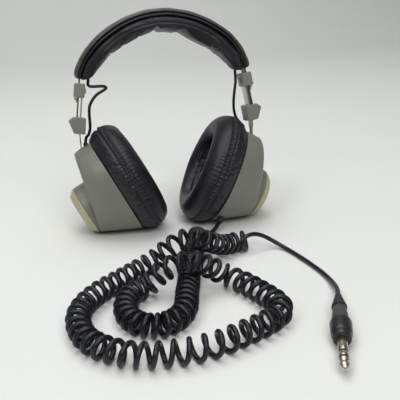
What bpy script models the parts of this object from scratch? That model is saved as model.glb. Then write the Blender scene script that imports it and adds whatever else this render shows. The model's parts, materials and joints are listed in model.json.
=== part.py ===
"""Over-ear stereo headphones with a folded-strip headband, a curly cord and a quarter-inch plug.

The headset is drawn upright in its own design frame: x runs across, y front to back and z up, with
x = 0 midway between the cups. The whole frame leans back a little. The cord lies on the floor.
Dimensions are in millimetres and MM turns them into metres.
"""

import math

import bmesh
import bpy
from mathutils import Matrix, Vector

MM = 0.001

# Stance on the floor
LEAN_DEG = 10.5
STAND_Y = -8.5
STAND_Z = 1.1
GAP = 0.3

# Ear cups: a runs outward, w across and b up the rim, from the rim's lowest point
CUP_TILT_DEG = 26.8
RIM_X = 30.6
PIN_A = 9.0
PIN_B = 82.0
PIN_RADIUS = 1.25
PIN_LENGTH = 14.4
PIN_HOLE_RADIUS = 1.5
RIM_B = 44.7
CORNER = 2.2
FACET = 0.98
BOSS_B = 39.7
BOSS_RADIUS = 22.3
BOSS_FACE = 33.2
WALL = 2.2
BAFFLE_B = 45.7
BAFFLE_FACE = 2.2
BAFFLE_THICK = 2.5
SCREW_B = 26.0
SCREW_W = 18.0
CUSHION_B = 45.3

# Arms: t runs up the arm and o outward, from the lower block's centre
ARM_ANGLE_DEG = 9.0
ARM_X = 78.2
ARM_H = 95.4
STRIP_OFFSET = 1.5
STRIP_THICK = 1.0
STRIP_WIDTH = 12.0
TONGUE_WIDTH = 7.0
BLOCK_DEPTH = 18.0
UPPER_T = (24.0, 36.0)
UPPER_O = (-3.5, 5.5)
COVER_T = 40.2
EYE_RADIUS = 2.0

# Headband arch
APEX_H = 184.0
SIDE_PULL = 21.0
TOP_PULL = 37.0
COVER_HALF = 19.0
NECK_HALF = 7.5
PAD_DEPTH = 13.0
CROWN = 5.0

# Cord and leads
CORD_DIAMETER = 3.6
LEAD_DIAMETER = 2.6
COIL_DIAMETER = 17.4
COIL_POINTS = 66

# A quarter-inch plug
PLUG_Z = 7.0
SLEEVE_RADIUS = 3.175
PLUG_SIDES = 20

LEAN = math.radians(LEAN_DEG)
TILT = math.radians(CUP_TILT_DEG)
ARM_ANGLE = math.radians(ARM_ANGLE_DEG)


# ---------------------------------------------------------------- helpers

def clear_scene():
    for obj in list(bpy.data.objects):
        bpy.data.objects.remove(obj, do_unlink=True)


def linear(hex_colour):
    """An sRGB hex colour as linear RGBA."""
    values = [int(hex_colour[i:i + 2], 16) / 255 for i in (0, 2, 4)]
    return [v / 12.92 if v <= 0.04045 else ((v + 0.055) / 1.055) ** 2.4 for v in values] + [1.0]


def material(name, look):
    hex_colour, roughness, metallic = look
    made = bpy.data.materials.new(name)
    made.use_nodes = True
    shader = made.node_tree.nodes["Principled BSDF"]
    shader.inputs["Base Color"].default_value = linear(hex_colour)
    shader.inputs["Roughness"].default_value = roughness
    shader.inputs["Metallic"].default_value = metallic
    made.diffuse_color = linear(hex_colour)
    return made


OLIVE_PLASTIC = ("696B62", 0.5, 0.0)
CREAM_PLASTIC = ("B9AF8C", 0.45, 0.0)
BLACK_VINYL = ("17171A", 0.4, 0.0)
BLACK_PLASTIC = ("1D1D1F", 0.55, 0.0)
BLACK_RUBBER = ("161617", 0.6, 0.0)
GREY_PLASTIC = ("4A4A4C", 0.5, 0.0)
FOAM = ("2A2A2C", 0.95, 0.0)
STEEL = ("A9A79E", 0.3, 1.0)
DARK_STEEL = ("3A3936", 0.4, 1.0)
NICKEL = ("C9C6BE", 0.18, 1.0)
FERRITE = ("35363A", 0.6, 0.0)
MYLAR = ("8E8A7A", 0.25, 0.0)


def empty(name, parent, location=(0, 0, 0), rotation=(0, 0, 0)):
    made = bpy.data.objects.new(name, None)
    made.empty_display_size = 0.01
    bpy.context.scene.collection.objects.link(made)
    made.parent = parent
    made.location = Vector(location) * MM
    made.rotation_euler = rotation
    return made


def finish_object(name, data, look, parent, location, rotation):
    made = bpy.data.objects.new(name, data)
    bpy.context.scene.collection.objects.link(made)
    made.parent = parent
    made.location = Vector(location) * MM
    made.rotation_euler = rotation
    if look:
        data.materials.append(material(name, look))
    return made


def add_mesh(name, bm, look, parent, location=(0, 0, 0), rotation=(0, 0, 0), sharp_deg=38):
    """Turns a bmesh drawn in millimetres into a placed object with faces pointing out."""
    bmesh.ops.scale(bm, vec=(MM, MM, MM), verts=bm.verts)
    bmesh.ops.recalc_face_normals(bm, faces=bm.faces)
    mesh = bpy.data.meshes.new(name)
    bm.to_mesh(mesh)
    bm.free()
    mesh.shade_smooth()
    mesh.set_sharp_from_angle(angle=math.radians(sharp_deg))
    return finish_object(name, mesh, look, parent, location, rotation)


def loft(rings, ring_closed=False):
    """A skin through rings of points. The ends are capped, or joined to each other."""
    bm = bmesh.new()
    rows = [[bm.verts.new(point) for point in ring] for ring in rings]
    pairs = list(zip(rows, rows[1:]))
    if ring_closed:
        pairs.append((rows[-1], rows[0]))
    for low, high in pairs:
        count = len(low)
        for i in range(count):
            j = (i + 1) % count
            bm.faces.new((low[i], low[j], high[j], high[i]))
    if not ring_closed:
        bm.faces.new(rows[0][::-1])
        bm.faces.new(rows[-1])
    return bm


def lathe(profile, steps=28, closed=False):
    """A solid turned about +Z from (radius, height) points, from axis to axis or as a closed section."""
    bm = bmesh.new()
    rows = []
    for radius, height in profile:
        if radius == 0:
            rows.append([bm.verts.new((0, 0, height))] * steps)
            continue
        turns = [2 * math.pi * i / steps for i in range(steps)]
        rows.append([bm.verts.new((radius * math.cos(u), radius * math.sin(u), height)) for u in turns])
    pairs = list(zip(rows, rows[1:]))
    if closed:
        pairs.append((rows[-1], rows[0]))
    for low, high in pairs:
        for i in range(steps):
            j = (i + 1) % steps
            corners = dict.fromkeys((low[i], low[j], high[j], high[i]))
            if len(corners) > 2:
                bm.faces.new(list(corners))
    return bm


def prism(outline, half_depth):
    """A straight prism along y from an (x, z) outline."""
    return loft([[(x, y, z) for x, z in outline] for y in (-half_depth, half_depth)])


def box(low, high):
    bm = bmesh.new()
    bmesh.ops.create_cube(bm, size=1.0)
    for vert in bm.verts:
        vert.co = Vector([lo + (c + 0.5) * (hi - lo) for lo, hi, c in zip(low, high, vert.co)])
    return bm


def cylinder(radius, start, end, steps=20):
    """A plain cylinder between two points."""
    start = Vector(start)
    run = Vector(end) - start
    bm = lathe([(0, 0), (radius, 0), (radius, run.length), (0, run.length)], steps)
    turn = Vector((0, 0, 1)).rotation_difference(run).to_matrix().to_4x4()
    bmesh.ops.transform(bm, matrix=Matrix.Translation(start) @ turn, verts=bm.verts)
    return bm


def join(parts):
    """Several bmeshes as one, without merging them."""
    whole = bmesh.new()
    for part in parts:
        scratch = bpy.data.meshes.new("scratch")
        part.to_mesh(scratch)
        part.free()
        whole.from_mesh(scratch)
        bpy.data.meshes.remove(scratch)
    return whole


def boolean(target, name, operation, bm, **place):
    """A hidden tool object, and the Boolean on the target that uses it."""
    tool = add_mesh(name, bm, None, target.parent, **place)
    tool.hide_render = True
    tool.display_type = "WIRE"
    modifier = target.modifiers.new(name, "BOOLEAN")
    modifier.operation = operation
    modifier.object = tool
    modifier.solver = "EXACT"
    modifier.use_self = operation == "UNION"
    return tool


def bevel(obj, width, segments=2, angle_deg=40):
    modifier = obj.modifiers.new("edge_round", "BEVEL")
    modifier.width = width * MM
    modifier.segments = segments
    modifier.limit_method = "ANGLE"
    modifier.angle_limit = math.radians(angle_deg)
    modifier.use_clamp_overlap = True


def power(value, exponent):
    return math.copysign(abs(value) ** exponent, value)


def smooth_points(points, count):
    """Evenly spaced points on a smooth curve through the given ones."""
    given = [Vector(p) for p in points]
    padded = [2 * given[0] - given[1]] + given + [2 * given[-1] - given[-2]]
    fine = []
    for p0, p1, p2, p3 in zip(padded, padded[1:], padded[2:], padded[3:]):
        for k in range(24):
            u = k / 24
            fine.append(0.5 * (2 * p1 + (p2 - p0) * u + (2 * p0 - 5 * p1 + 4 * p2 - p3) * u ** 2
                               + (3 * p1 - p0 - 3 * p2 + p3) * u ** 3))
    fine.append(given[-1])
    walked = [0.0]
    for p, q in zip(fine, fine[1:]):
        walked.append(walked[-1] + (q - p).length)
    even = []
    k = 0
    for i in range(count):
        goal = walked[-1] * i / (count - 1)
        while k < len(fine) - 2 and walked[k + 1] < goal:
            k += 1
        share = (goal - walked[k]) / (walked[k + 1] - walked[k])
        even.append(fine[k].lerp(fine[k + 1], share))
    return even


def tube(name, points, count, diameter, look, parent, sides=2):
    """A round cord as a bevelled poly curve with filled ends."""
    curve = bpy.data.curves.new(name, "CURVE")
    curve.dimensions = "3D"
    curve.bevel_depth = diameter / 2 * MM
    curve.bevel_resolution = sides
    curve.use_fill_caps = True
    spline = curve.splines.new("POLY")
    spline.points.add(count - 1)
    for target, point in zip(spline.points, smooth_points(points, count)):
        target.co = (*(point * MM), 1.0)
    spline.use_smooth = True
    return finish_object(name, curve, look, parent, (0, 0, 0), (0, 0, 0))


# ---------------------------------------------------------------- ear cups

def cup_ring(half_w, low, high, side, count=30):
    """A rim-shaped ring with a flat facet at its top. low and high are its (b, a) ends."""
    ring = []
    for i in range(count):
        turn = 2 * math.pi * i / count
        w = half_w * power(math.sin(turn), 2 / CORNER)
        share = (min(power(math.cos(turn), 2 / CORNER), FACET) + 1) / (1 + FACET)
        b = low[0] + share * (high[0] - low[0])
        a = low[1] + share * (high[1] - low[1])
        ring.append((side * a, w, b))
    return ring


def oval(half_w, half_b, centre_b, a, side, count=30, exponent=2.1):
    ring = []
    for i in range(count):
        turn = 2 * math.pi * i / count
        w = half_w * power(math.sin(turn), 2 / exponent)
        b = centre_b + half_b * power(math.cos(turn), 2 / exponent)
        ring.append((side * a, w, b))
    return ring


SHELL_OUTSIDE = (
    (39.5, (0.0, 0.0), (88.5, 0.0)),
    (36.6, (7.9, 15.5), (88.1, 7.8)),
    (32.2, (15.3, 30.0), (87.6, 14.2)),
    (30.2, (16.9, 32.4), (86.8, 15.9)),
    (27.4, (19.8, 33.1), (84.6, 16.9)),
)
SHELL_INSIDE = (
    (37.4, (1.8, -1.0), (86.3, -1.0)),
    (34.4, (10.3, 15.5), (85.9, 6.6)),
    (30.2, (16.8, 28.5), (85.4, 12.0)),
    (28.2, (18.8, 30.2), (84.0, 13.6)),
    (25.2, (21.7, 30.9), (81.5, 14.6)),
)


def add_shell(name, side, frame):
    """The moulded cup: a hollow shell with a round boss, screw posts, pin ears and a slot in its top facet."""
    shell = add_mesh(name, loft([cup_ring(*row, side) for row in SHELL_OUTSIDE]), OLIVE_PLASTIC, frame)
    turn = (0, side * math.pi / 2, 0)
    boss = lathe([(0, 22), (BOSS_RADIUS, 22), (BOSS_RADIUS, BOSS_FACE), (0, BOSS_FACE)], 30)
    boolean(shell, name + "_boss", "UNION", boss, location=(0, 0, BOSS_B), rotation=turn)
    hollow = loft([cup_ring(*row, side) for row in SHELL_INSIDE])
    boolean(shell, name + "_hollow", "DIFFERENCE", hollow)
    well_radius = BOSS_RADIUS - WALL
    well_floor = BOSS_FACE - WALL
    well = lathe([(0, 15), (well_radius, 15), (well_radius, well_floor), (0, well_floor)], 30)
    boolean(shell, name + "_well", "DIFFERENCE", well, location=(0, 0, BOSS_B), rotation=turn)
    posts = []
    holes = []
    for b_sign in (-1, 1):
        for w_sign in (-1, 1):
            b = RIM_B + b_sign * SCREW_B
            w = w_sign * SCREW_W
            far = 19.0
            posts.append(cylinder(3.0, (side * 5.0, w, b), (side * far, w, b), 10))
            holes.append(cylinder(1.5, (side * 4.0, w, b), (side * 12.0, w, b), 8))
    boolean(shell, name + "_posts", "UNION", join(posts))
    boolean(shell, name + "_post_holes", "DIFFERENCE", join(holes))
    ears = []
    for w_sign in (-1, 1):
        w_ends = sorted((w_sign * 5.2, w_sign * 7.4))
        a_ends = sorted((side * 5.9, side * 12.1))
        ears.append(box((a_ends[0], w_ends[0], 78.8), (a_ends[1], w_ends[1], 87.2)))
    boolean(shell, name + "_ears", "UNION", join(ears))
    a_ends = sorted((side * 6.2, side * 11.8))
    cuts = [
        box((a_ends[0], -4.6, 84.0), (a_ends[1], 4.6, 90.0)),
    ]
    boolean(shell, name + "_slot", "DIFFERENCE", join(cuts))
    bore = cylinder(PIN_HOLE_RADIUS, (side * PIN_A, -8.5, PIN_B), (side * PIN_A, 8.5, PIN_B), 16)
    boolean(shell, name + "_pin_bore", "DIFFERENCE", bore)


def add_end_cap(name, side, frame):
    """The pale cover disc: a low cone with two fine steps round its edge."""
    base = BOSS_FACE + GAP
    profile = [
        (0, base), (22.0, base), (22.3, base + 0.4), (21.2, base + 2.2), (20.7, base + 2.3),
        (19.8, base + 3.9), (19.3, base + 4.0), (17.6, base + 5.8), (17.0, base + 6.1), (0, base + 6.1),
    ]
    add_mesh(name, lathe(profile, 30), CREAM_PLASTIC, frame, (0, 0, BOSS_B), (0, side * math.pi / 2, 0), 30)


def add_baffle(name, side, frame):
    """The plate across the cup's mouth, with a ring of sound holes and four screw holes."""
    back = BAFFLE_FACE + BAFFLE_THICK
    rings = [oval(35.2, 39.4, BAFFLE_B, a, side) for a in (BAFFLE_FACE, back)]
    baffle = add_mesh(name, loft(rings), BLACK_PLASTIC, frame)
    holes = []
    spots = [(0.0, 0.0)]
    for k in range(6):
        spots.append((10.0 * math.cos(k * math.pi / 3), 10.0 * math.sin(k * math.pi / 3)))
    for w, b in spots:
        holes.append(cylinder(3.2, (side * 1.0, w, RIM_B + b), (side * 6.0, w, RIM_B + b), 10))
    for b_sign in (-1, 1):
        for w_sign in (-1, 1):
            w = w_sign * SCREW_W
            b = RIM_B + b_sign * SCREW_B
            holes.append(cylinder(1.5, (side * 1.0, w, b), (side * 6.0, w, b), 8))
    boolean(baffle, name + "_holes", "DIFFERENCE", join(holes))


def add_baffle_screws(prefix, side, frame):
    profile = [(0, 0.8), (1.8, 0.8), (2.5, 1.9), (1.1, 1.9), (1.1, 9.0), (0, 10.0)]
    corners = [(w, b) for b in (-SCREW_B, SCREW_B) for w in (-SCREW_W, SCREW_W)]
    for number, (w, b) in enumerate(corners, 1):
        name = f"{prefix}_baffle_screw_{number}"
        add_mesh(name, lathe(profile, 8), STEEL, frame, (0, w, RIM_B + b), (0, side * math.pi / 2, 0))


def add_driver(prefix, side, frame):
    """The moving-coil driver behind the baffle: basket, magnet and diaphragm."""
    place = dict(location=(0, 0, RIM_B), rotation=(0, side * math.pi / 2, 0))
    front = BAFFLE_FACE + BAFFLE_THICK + GAP
    basket = [
        (25.0, front), (25.0, front + 1.3), (22.4, front + 1.7), (16.6, front + 7.4),
        (15.0, front + 7.4), (15.0, front + 6.2), (21.6, front + 0.6), (22.4, front),
    ]
    add_mesh(prefix + "_driver_frame", lathe(basket, 22, True), GREY_PLASTIC, frame, **place)
    back = front + 7.4 + GAP
    magnet = [(0, back), (14.4, back), (15.0, back + 0.6), (15.0, back + 6.2), (14.4, back + 6.8), (0, back + 6.8)]
    add_mesh(prefix + "_driver_magnet", lathe(magnet, 20), FERRITE, frame, **place)
    cone = [
        (0, front + 4.0), (7.0, front + 3.4), (14.0, front + 1.4), (20.4, front),
        (20.8, front + 0.4), (14.0, front + 2.0), (7.0, front + 4.0), (0, front + 4.6),
    ]
    add_mesh(prefix + "_diaphragm", lathe(cone, 18), MYLAR, frame, **place)


CUSHION_SECTION = (
    (-0.3, 30.5, 22.5), (-0.3, 43.6, 38.0), (-3.0, 46.6, 40.8), (-8.0, 49.6, 43.4), (-14.0, 50.6, 44.5),
    (-20.0, 49.9, 43.6), (-25.5, 46.6, 39.8), (-29.3, 41.5, 34.4), (-30.0, 37.0, 30.0),
    (-29.0, 32.6, 25.6), (-25.0, 28.8, 21.2), (-17.0, 27.2, 19.4), (-8.0, 27.4, 19.6),
)


def add_cushion(name, side, frame):
    """The ring-shaped ear cushion as one plain closed body with an open bowl."""
    rings = [oval(w, b, CUSHION_B, a, side) for a, b, w in CUSHION_SECTION]
    add_mesh(name, loft(rings, True), BLACK_VINYL, frame)


def add_grille_pad(name, side, frame):
    rings = [oval(w, b, CUSHION_B, a, side, 24) for a, b, w in ((-1.6, 25.6, 17.8), (-0.6, 26.6, 18.8), (1.9, 26.6, 18.8))]
    add_mesh(name, loft(rings), FOAM, frame)


def add_pivot_pin(name, side, frame):
    ends = [(side * PIN_A, w, PIN_B) for w in (-PIN_LENGTH / 2, PIN_LENGTH / 2)]
    add_mesh(name, cylinder(PIN_RADIUS, *ends, 16), STEEL, frame)


# Where each lead goes into its cup, as (a, w, b)
LEAD_ENTRY = {-1: (2.9, 0.0, 88.8), 1: (2.9, 12.5, 88.1)}


def add_grommet(name, side, frame):
    profile = [(0, 0), (2.2, 0), (2.2, 0.8), (1.7, 1.2), (1.7, 2.4), (0, 2.4)]
    a, w, b = LEAD_ENTRY[side]
    add_mesh(name, lathe(profile, 14), BLACK_RUBBER, frame, (side * a, w, b))


def add_cup(prefix, side, frame):
    add_shell(prefix + "_shell", side, frame)
    add_end_cap(prefix + "_end_cap", side, frame)
    add_baffle(prefix + "_baffle", side, frame)
    add_baffle_screws(prefix, side, frame)
    add_driver(prefix, side, frame)
    add_grille_pad(prefix + "_grille_pad", side, frame)
    add_cushion(prefix + "_cushion", side, frame)
    add_pivot_pin(prefix + "_pivot_pin", side, frame)
    add_grommet(prefix + "_lead_grommet", side, frame)


# ---------------------------------------------------------------- arms

def arm_point(o, t):
    """(x, z) in the design frame, right side, of a point o outward and t up the arm."""
    x = ARM_X + o * math.cos(ARM_ANGLE) - t * math.sin(ARM_ANGLE)
    return Vector((x, ARM_H + o * math.sin(ARM_ANGLE) + t * math.cos(ARM_ANGLE)))


def pin_point():
    x = RIM_X + PIN_B * math.sin(TILT) + PIN_A * math.cos(TILT)
    return Vector((x, PIN_B * math.cos(TILT) - PIN_A * math.sin(TILT)))


def strip(path, widths, side):
    """A flat strip of sheet swept along (x, z) points, with a full width at each of them."""
    rings = []
    for i, point in enumerate(path):
        ahead = path[min(i + 1, len(path) - 1)] - path[max(i - 1, 0)]
        normal = Vector((-ahead[1], ahead[0])).normalized() * STRIP_THICK / 2
        half = widths[i] / 2
        corners = ((point - normal, -half), (point + normal, -half), (point + normal, half), (point - normal, half))
        rings.append([(side * p[0], y, p[1]) for p, y in corners])
    return loft(rings)


def stirrup_path():
    """The inner strip: straight in the arm, then down to an eye curled round the pivot pin."""
    pin = pin_point()
    path = [arm_point(-STRIP_OFFSET, t) for t in (33.5, 20, 6, -6.5)]
    widths = [STRIP_WIDTH] * 4
    foot = path[-1]
    reach = foot - pin
    touch = math.atan2(reach[1], reach[0]) - math.acos(EYE_RADIUS / reach.length)
    meet = pin + EYE_RADIUS * Vector((math.cos(touch), math.sin(touch)))
    for share, width in ((0.12, STRIP_WIDTH), (0.24, STRIP_WIDTH), (0.42, TONGUE_WIDTH), (0.7, TONGUE_WIDTH)):
        path.append(foot.lerp(meet, share))
        widths.append(width)
    for k in range(12):
        turn = touch - math.radians(25 * k)
        path.append(pin + EYE_RADIUS * Vector((math.cos(turn), math.sin(turn))))
        widths.append(TONGUE_WIDTH)
    return path, widths


def add_stirrup_strip(name, side, pivot):
    pin = pin_point()
    path, widths = stirrup_path()
    made = add_mesh(name, strip([p - pin for p in path], widths, side), STEEL, pivot)
    hole_low = arm_point(-STRIP_OFFSET - 2, 30.0) - pin
    hole_high = arm_point(-STRIP_OFFSET + 2, 30.0) - pin
    hole = cylinder(1.7, (side * hole_low[0], 0, hole_low[1]), (side * hole_high[0], 0, hole_high[1]), 14)
    boolean(made, name + "_rivet_hole", "DIFFERENCE", hole)


def slot(side, offset, low, high):
    half_thick = STRIP_THICK / 2 + GAP
    half_width = STRIP_WIDTH / 2 + GAP
    ends = sorted((side * (offset - half_thick), side * (offset + half_thick)))
    return box((ends[0], -half_width, low), (ends[1], half_width, high))


def add_upper_block(prefix, side, arm):
    """The moulded guide fixed to the stirrup's top, and its rivet and click spring."""
    ends = sorted(side * o for o in UPPER_O)
    half = BLOCK_DEPTH / 2
    upper = add_mesh(prefix + "_upper_block", box((ends[0], -half, UPPER_T[0]), (ends[1], half, UPPER_T[1])),
                     OLIVE_PLASTIC, arm)
    bevel(upper, 0.8)
    slots = [slot(side, offset, UPPER_T[0] - 2, UPPER_T[1] + 2) for offset in (-STRIP_OFFSET, STRIP_OFFSET)]
    boolean(upper, prefix + "_upper_slots", "DIFFERENCE", join(slots))
    hole = cylinder(1.7, (side * -5, 0, 30), (side * -1.2, 0, 30), 14)
    boolean(upper, prefix + "_upper_rivet_hole", "DIFFERENCE", hole)
    head = UPPER_O[0] - GAP
    rivet = [(0, -1.1), (1.6, -1.1), (2.4, -0.5), (2.4, 0), (1.4, 0), (1.4, 2.6), (0, 2.6)]
    add_mesh(prefix + "_upper_rivet", lathe(rivet, 14), STEEL, arm, (side * head, 0, 30), (0, side * math.pi / 2, 0))
    claw = [(2.4, 23.7), (4.9, 23.7), (4.9, 22.5), (3.6, 21.6), (3.2, 19.6), (2.4, 19.6)]
    add_mesh(prefix + "_click_spring", prism([(side * o, t) for o, t in claw], 5.0), STEEL, arm)


LOWER_OUTLINE = ((-5.9, 7.0), (4.7, 7.0), (8.6, 3.4), (3.4, -7.0), (-6.2, -7.0))


def add_lower_block(prefix, side, arm):
    """The moulded guide fixed to the headband strip's end, and its rivet in a counterbore."""
    lower = add_mesh(prefix + "_lower_block", prism([(side * o, t) for o, t in LOWER_OUTLINE], BLOCK_DEPTH / 2),
                     OLIVE_PLASTIC, arm)
    bevel(lower, 0.8)
    slots = [
        slot(side, -STRIP_OFFSET, -9, 9),
        slot(side, STRIP_OFFSET, -5.6, 9),
    ]
    boolean(lower, prefix + "_lower_slots", "DIFFERENCE", join(slots))
    seat = 4.2
    holes = [
        cylinder(2.9, (side * seat, 0, -1), (side * 12, 0, -1), 16),
    ]
    boolean(lower, prefix + "_lower_seat", "DIFFERENCE", join(holes))
    shank = cylinder(1.7, (side * 1.2, 0, -1), (side * 6, 0, -1), 14)
    boolean(lower, prefix + "_lower_rivet_hole", "DIFFERENCE", shank)
    rivet = [(0, -3.4), (1.4, -3.4), (1.4, 0), (2.4, 0), (2.4, 0.5), (1.6, 1.1), (0, 1.1)]
    add_mesh(prefix + "_lower_rivet", lathe(rivet, 14), STEEL, arm, (side * (seat + GAP), 0, -1),
             (0, side * math.pi / 2, 0))


# ---------------------------------------------------------------- headband

def arch_side(count):
    """(x, z) points up the right half of the arch, from the cover's end to the apex."""
    start = arm_point(STRIP_OFFSET, COVER_T)
    along = Vector((-math.sin(ARM_ANGLE), math.cos(ARM_ANGLE)))
    handles = (start, start + SIDE_PULL * along, Vector((TOP_PULL, APEX_H)), Vector((0, APEX_H)))
    points = []
    for i in range(count + 1):
        u = i / count
        shares = ((1 - u) ** 3, 3 * u * (1 - u) ** 2, 3 * u ** 2 * (1 - u), u ** 3)
        points.append(sum((s * h for s, h in zip(shares, handles)), Vector((0, 0))))
    return points


def arch(count=14):
    """The whole arch from right to left."""
    right = arch_side(count)
    left = [Vector((-p[0], p[1])) for p in right[-2::-1]]
    return right + left


def mirrored(path):
    return [Vector((-p[0], p[1])) for p in path[::-1]]


def add_spring_band(name, frame):
    """The outer strip: one sprung band from the right lower block over the head to the left one."""
    leg = [arm_point(STRIP_OFFSET, t) for t in (-5.0, 8, 22, 37)]
    path = leg + arch() + mirrored(leg)
    band = add_mesh(name, strip(path, [STRIP_WIDTH] * len(path), 1), DARK_STEEL, frame)
    holes = []
    for side in (-1, 1):
        ends = [arm_point(o, -1.0) for o in (STRIP_OFFSET - 2, STRIP_OFFSET + 2)]
        low, high = [(side * e[0], 0, e[1]) for e in ends]
        holes.append(cylinder(1.7, low, high, 14))
    boolean(band, name + "_rivet_holes", "DIFFERENCE", join(holes))


def cover_share(i, count):
    """0 at the cover's ends and 1 over the middle, rising smoothly over the first quarter."""
    from_end = min(i, count - i) / count
    rise = min(from_end / 0.2, 1.0)
    return rise * rise * (3 - 2 * rise)


def wrap(inner, outer, ends):
    """A body along the arch between two distances from the strip. ends gives its share of both at a neck."""
    path = arch()
    last = len(path) - 1
    rings = []
    for i, point in enumerate(path):
        ahead = path[min(i + 1, last)] - path[max(i - 1, 0)]
        normal = Vector((ahead[1], -ahead[0])).normalized()
        share = cover_share(i, last)
        half = NECK_HALF + (COVER_HALF - NECK_HALF) * share
        depth = outer * (ends + (1 - ends) * share)
        section = []
        for across, level in ((-0.97, 0.0), (-1.0, 0.5), (-0.82, 0.88), (0.0, 1.05),
                              (0.82, 0.88), (1.0, 0.5), (0.97, 0.0)):
            height = inner + (depth - inner) * level
            spot = point + normal * height
            section.append((spot[0], across * half, spot[1]))
        rings.append(section)
    return loft(rings)


def add_headband(frame, arms):
    add_spring_band("spring_band", frame)
    shell_gap = STRIP_THICK / 2 + GAP
    add_mesh("cover_top", wrap(shell_gap, CROWN, 0.75), BLACK_VINYL, frame)
    add_mesh("headband_pad", wrap(-shell_gap, -PAD_DEPTH, 0.35), BLACK_VINYL, frame)
    for prefix, side in (("right", 1), ("left", -1)):
        add_lower_block(prefix, side, arms[side])


# ---------------------------------------------------------------- leads and cord

# Routes of the two short leads at each side, in the design frame
UPPER_LEAD = {
    1: ((66.1, 0, 136.3), (65.8, 1, 132.6), (66.2, 2, 129.3)),
    -1: ((-66.1, 0, 136.3), (-66.0, 0, 133.6), (-66.4, 0, 131.2)),
}
LOWER_LEAD = {
    1: ((66.3, 2.1, 128.7), (66.4, 3, 124), (65.9, 4.2, 119), (65.2, 6, 113), (65.0, 9, 105), (65.8, 12, 97),
        (68.0, 14, 90.5), (70.6, 13.9, 86.8), (72.8, 13.3, 84), (74.2, 12.7, 81.8), (74.5, 12.5, 80.3)),
    -1: ((-66.5, 0, 130.6), (-66.2, 0, 129.0), (-63.8, 0, 127.9), (-57.9, 0, 127.7), (-53.0, 0, 127.4),
         (-51.2, 0, 125.9), (-53.6, 0, 124.0), (-59.0, 0, 121.2), (-63.6, 0, 116.8), (-66.9, 0, 111.0),
         (-67.8, 0, 104.5), (-67.9, 0, 98), (-68.3, 0, 92), (-70.0, 0, 87.0), (-72.6, 0, 84.0), (-74.3, 0, 81.7)),
}

# The curly cord's axis on the floor, measured from the point midway between the cups
COIL_ROUTE = (
    (11, -49, 8.8), (4, -71, 8.8), (-4, -95, 8.8), (-11, -118, 8.8), (-15, -134, 8.8), (-20, -152, 8.8),
    (-25, -171, 8.8), (-33, -183, 8.8), (-45, -188.5, 8.8), (-57, -184, 8.8), (-63.5, -171, 8.8),
    (-63, -155, 8.8), (-56, -140, 8.8), (-45, -134, 10), (-34, -135, 20), (-24, -138.5, 25.8),
    (-14, -140.5, 27.6), (-4, -138.5, 23), (6, -134.5, 15), (15, -136.5, 9.8), (23, -147, 8.8), (30, -163, 8.8),
    (36, -181, 8.8), (34, -193, 8.8), (22, -203, 8.8), (5, -211, 8.8), (-15, -219, 8.8), (-38, -222, 8.8),
    (-62, -219, 8.8), (-80, -208, 8.8), (-92, -192, 8.8), (-96, -170, 8.8), (-92, -151, 8.8), (-80, -133, 8.8),
    (-62, -117, 8.8), (-46, -103, 9), (-34, -97, 12), (-22, -96.5, 20), (-12, -99, 26.4), (-3, -99.5, 27.6),
    (8, -96, 22), (19, -87, 14), (29, -79, 9.5), (38, -74.5, 8.8), (45, -75, 8.8),
)
LEAD_OUT_ROUTE = (
    (34.8, -26.4, 6.45), (31.4, -30.6, 4.6), (28.0, -33.6, 3.2), (24.0, -36.4, 2.4), (19.6, -39.8, 2.1),
    (15.0, -44.4, 2.1), (11.6, -48.6, 2.2),
)
TAIL_ROUTE = (
    (46.8, -75.6, 15.4), (51.5, -76.6, 15.0), (56.5, -75.6, 13.4), (62.5, -74.8, 10.2), (68.5, -76.4, 6.6),
    (73.6, -80.4, 3.8), (77.6, -87.0, 2.3), (81, -98, 2.0), (85, -115, 2.0), (88, -132, 2.0),
    (88.6, -146, 2.6), (87.2, -158, 4.2), (84.6, -169, 5.9), (80.6, -179.6, 7.0),
)
GLAND_START = (38.3, -21.0, 8.5)
GLAND_END = (35.0, -26.1, 6.6)
PLUG_START = (80.5, -180, PLUG_Z)
PLUG_ALONG = (-0.367, -0.930)


def add_leads(design):
    for prefix, side in (("right", 1), ("left", -1)):
        tube(prefix + "_lead_upper", UPPER_LEAD[side], 5, LEAD_DIAMETER, BLACK_RUBBER, design)
        count = 2 * len(LOWER_LEAD[side])
        tube(prefix + "_lead_lower", LOWER_LEAD[side], count, LEAD_DIAMETER, BLACK_RUBBER, design)


def add_gland(floor):
    """The tapered rubber boot where the cord leaves the right cup."""
    run = Vector(GLAND_END) - Vector(GLAND_START)
    reach = run.length
    profile = [(0, 0), (3.1, 0), (3.1, 0.25 * reach), (2.3, 0.9 * reach), (2.1, reach), (0, reach)]
    turn = Vector((0, 0, 1)).rotation_difference(run).to_euler()
    add_mesh("cord_gland", lathe(profile, 16), BLACK_RUBBER, floor, GLAND_START, turn)


def add_cord(floor):
    add_gland(floor)
    tube("cord_lead_out", LEAD_OUT_ROUTE, 8, CORD_DIAMETER, BLACK_RUBBER, floor)
    tube("curly_cord", COIL_ROUTE, COIL_POINTS, COIL_DIAMETER, BLACK_RUBBER, floor, 3)
    tube("cord_tail", TAIL_ROUTE, 20, CORD_DIAMETER, BLACK_RUBBER, floor)


def plug_boot(start, length, steps=5):
    """Alternating ribs on a taper."""
    profile = [(0, start)]
    for k in range(steps):
        low = start + length * k / steps
        high = start + length * (k + 0.62) / steps
        radius = 2.3 + 2.7 * k / (steps - 1)
        profile += [(radius, low), (radius, high), (radius - 0.6, high + 0.1)]
        profile.append((radius - 0.6, start + length * (k + 1) / steps - 0.1))
    profile.append((0, start + length - 0.1))
    return profile


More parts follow.
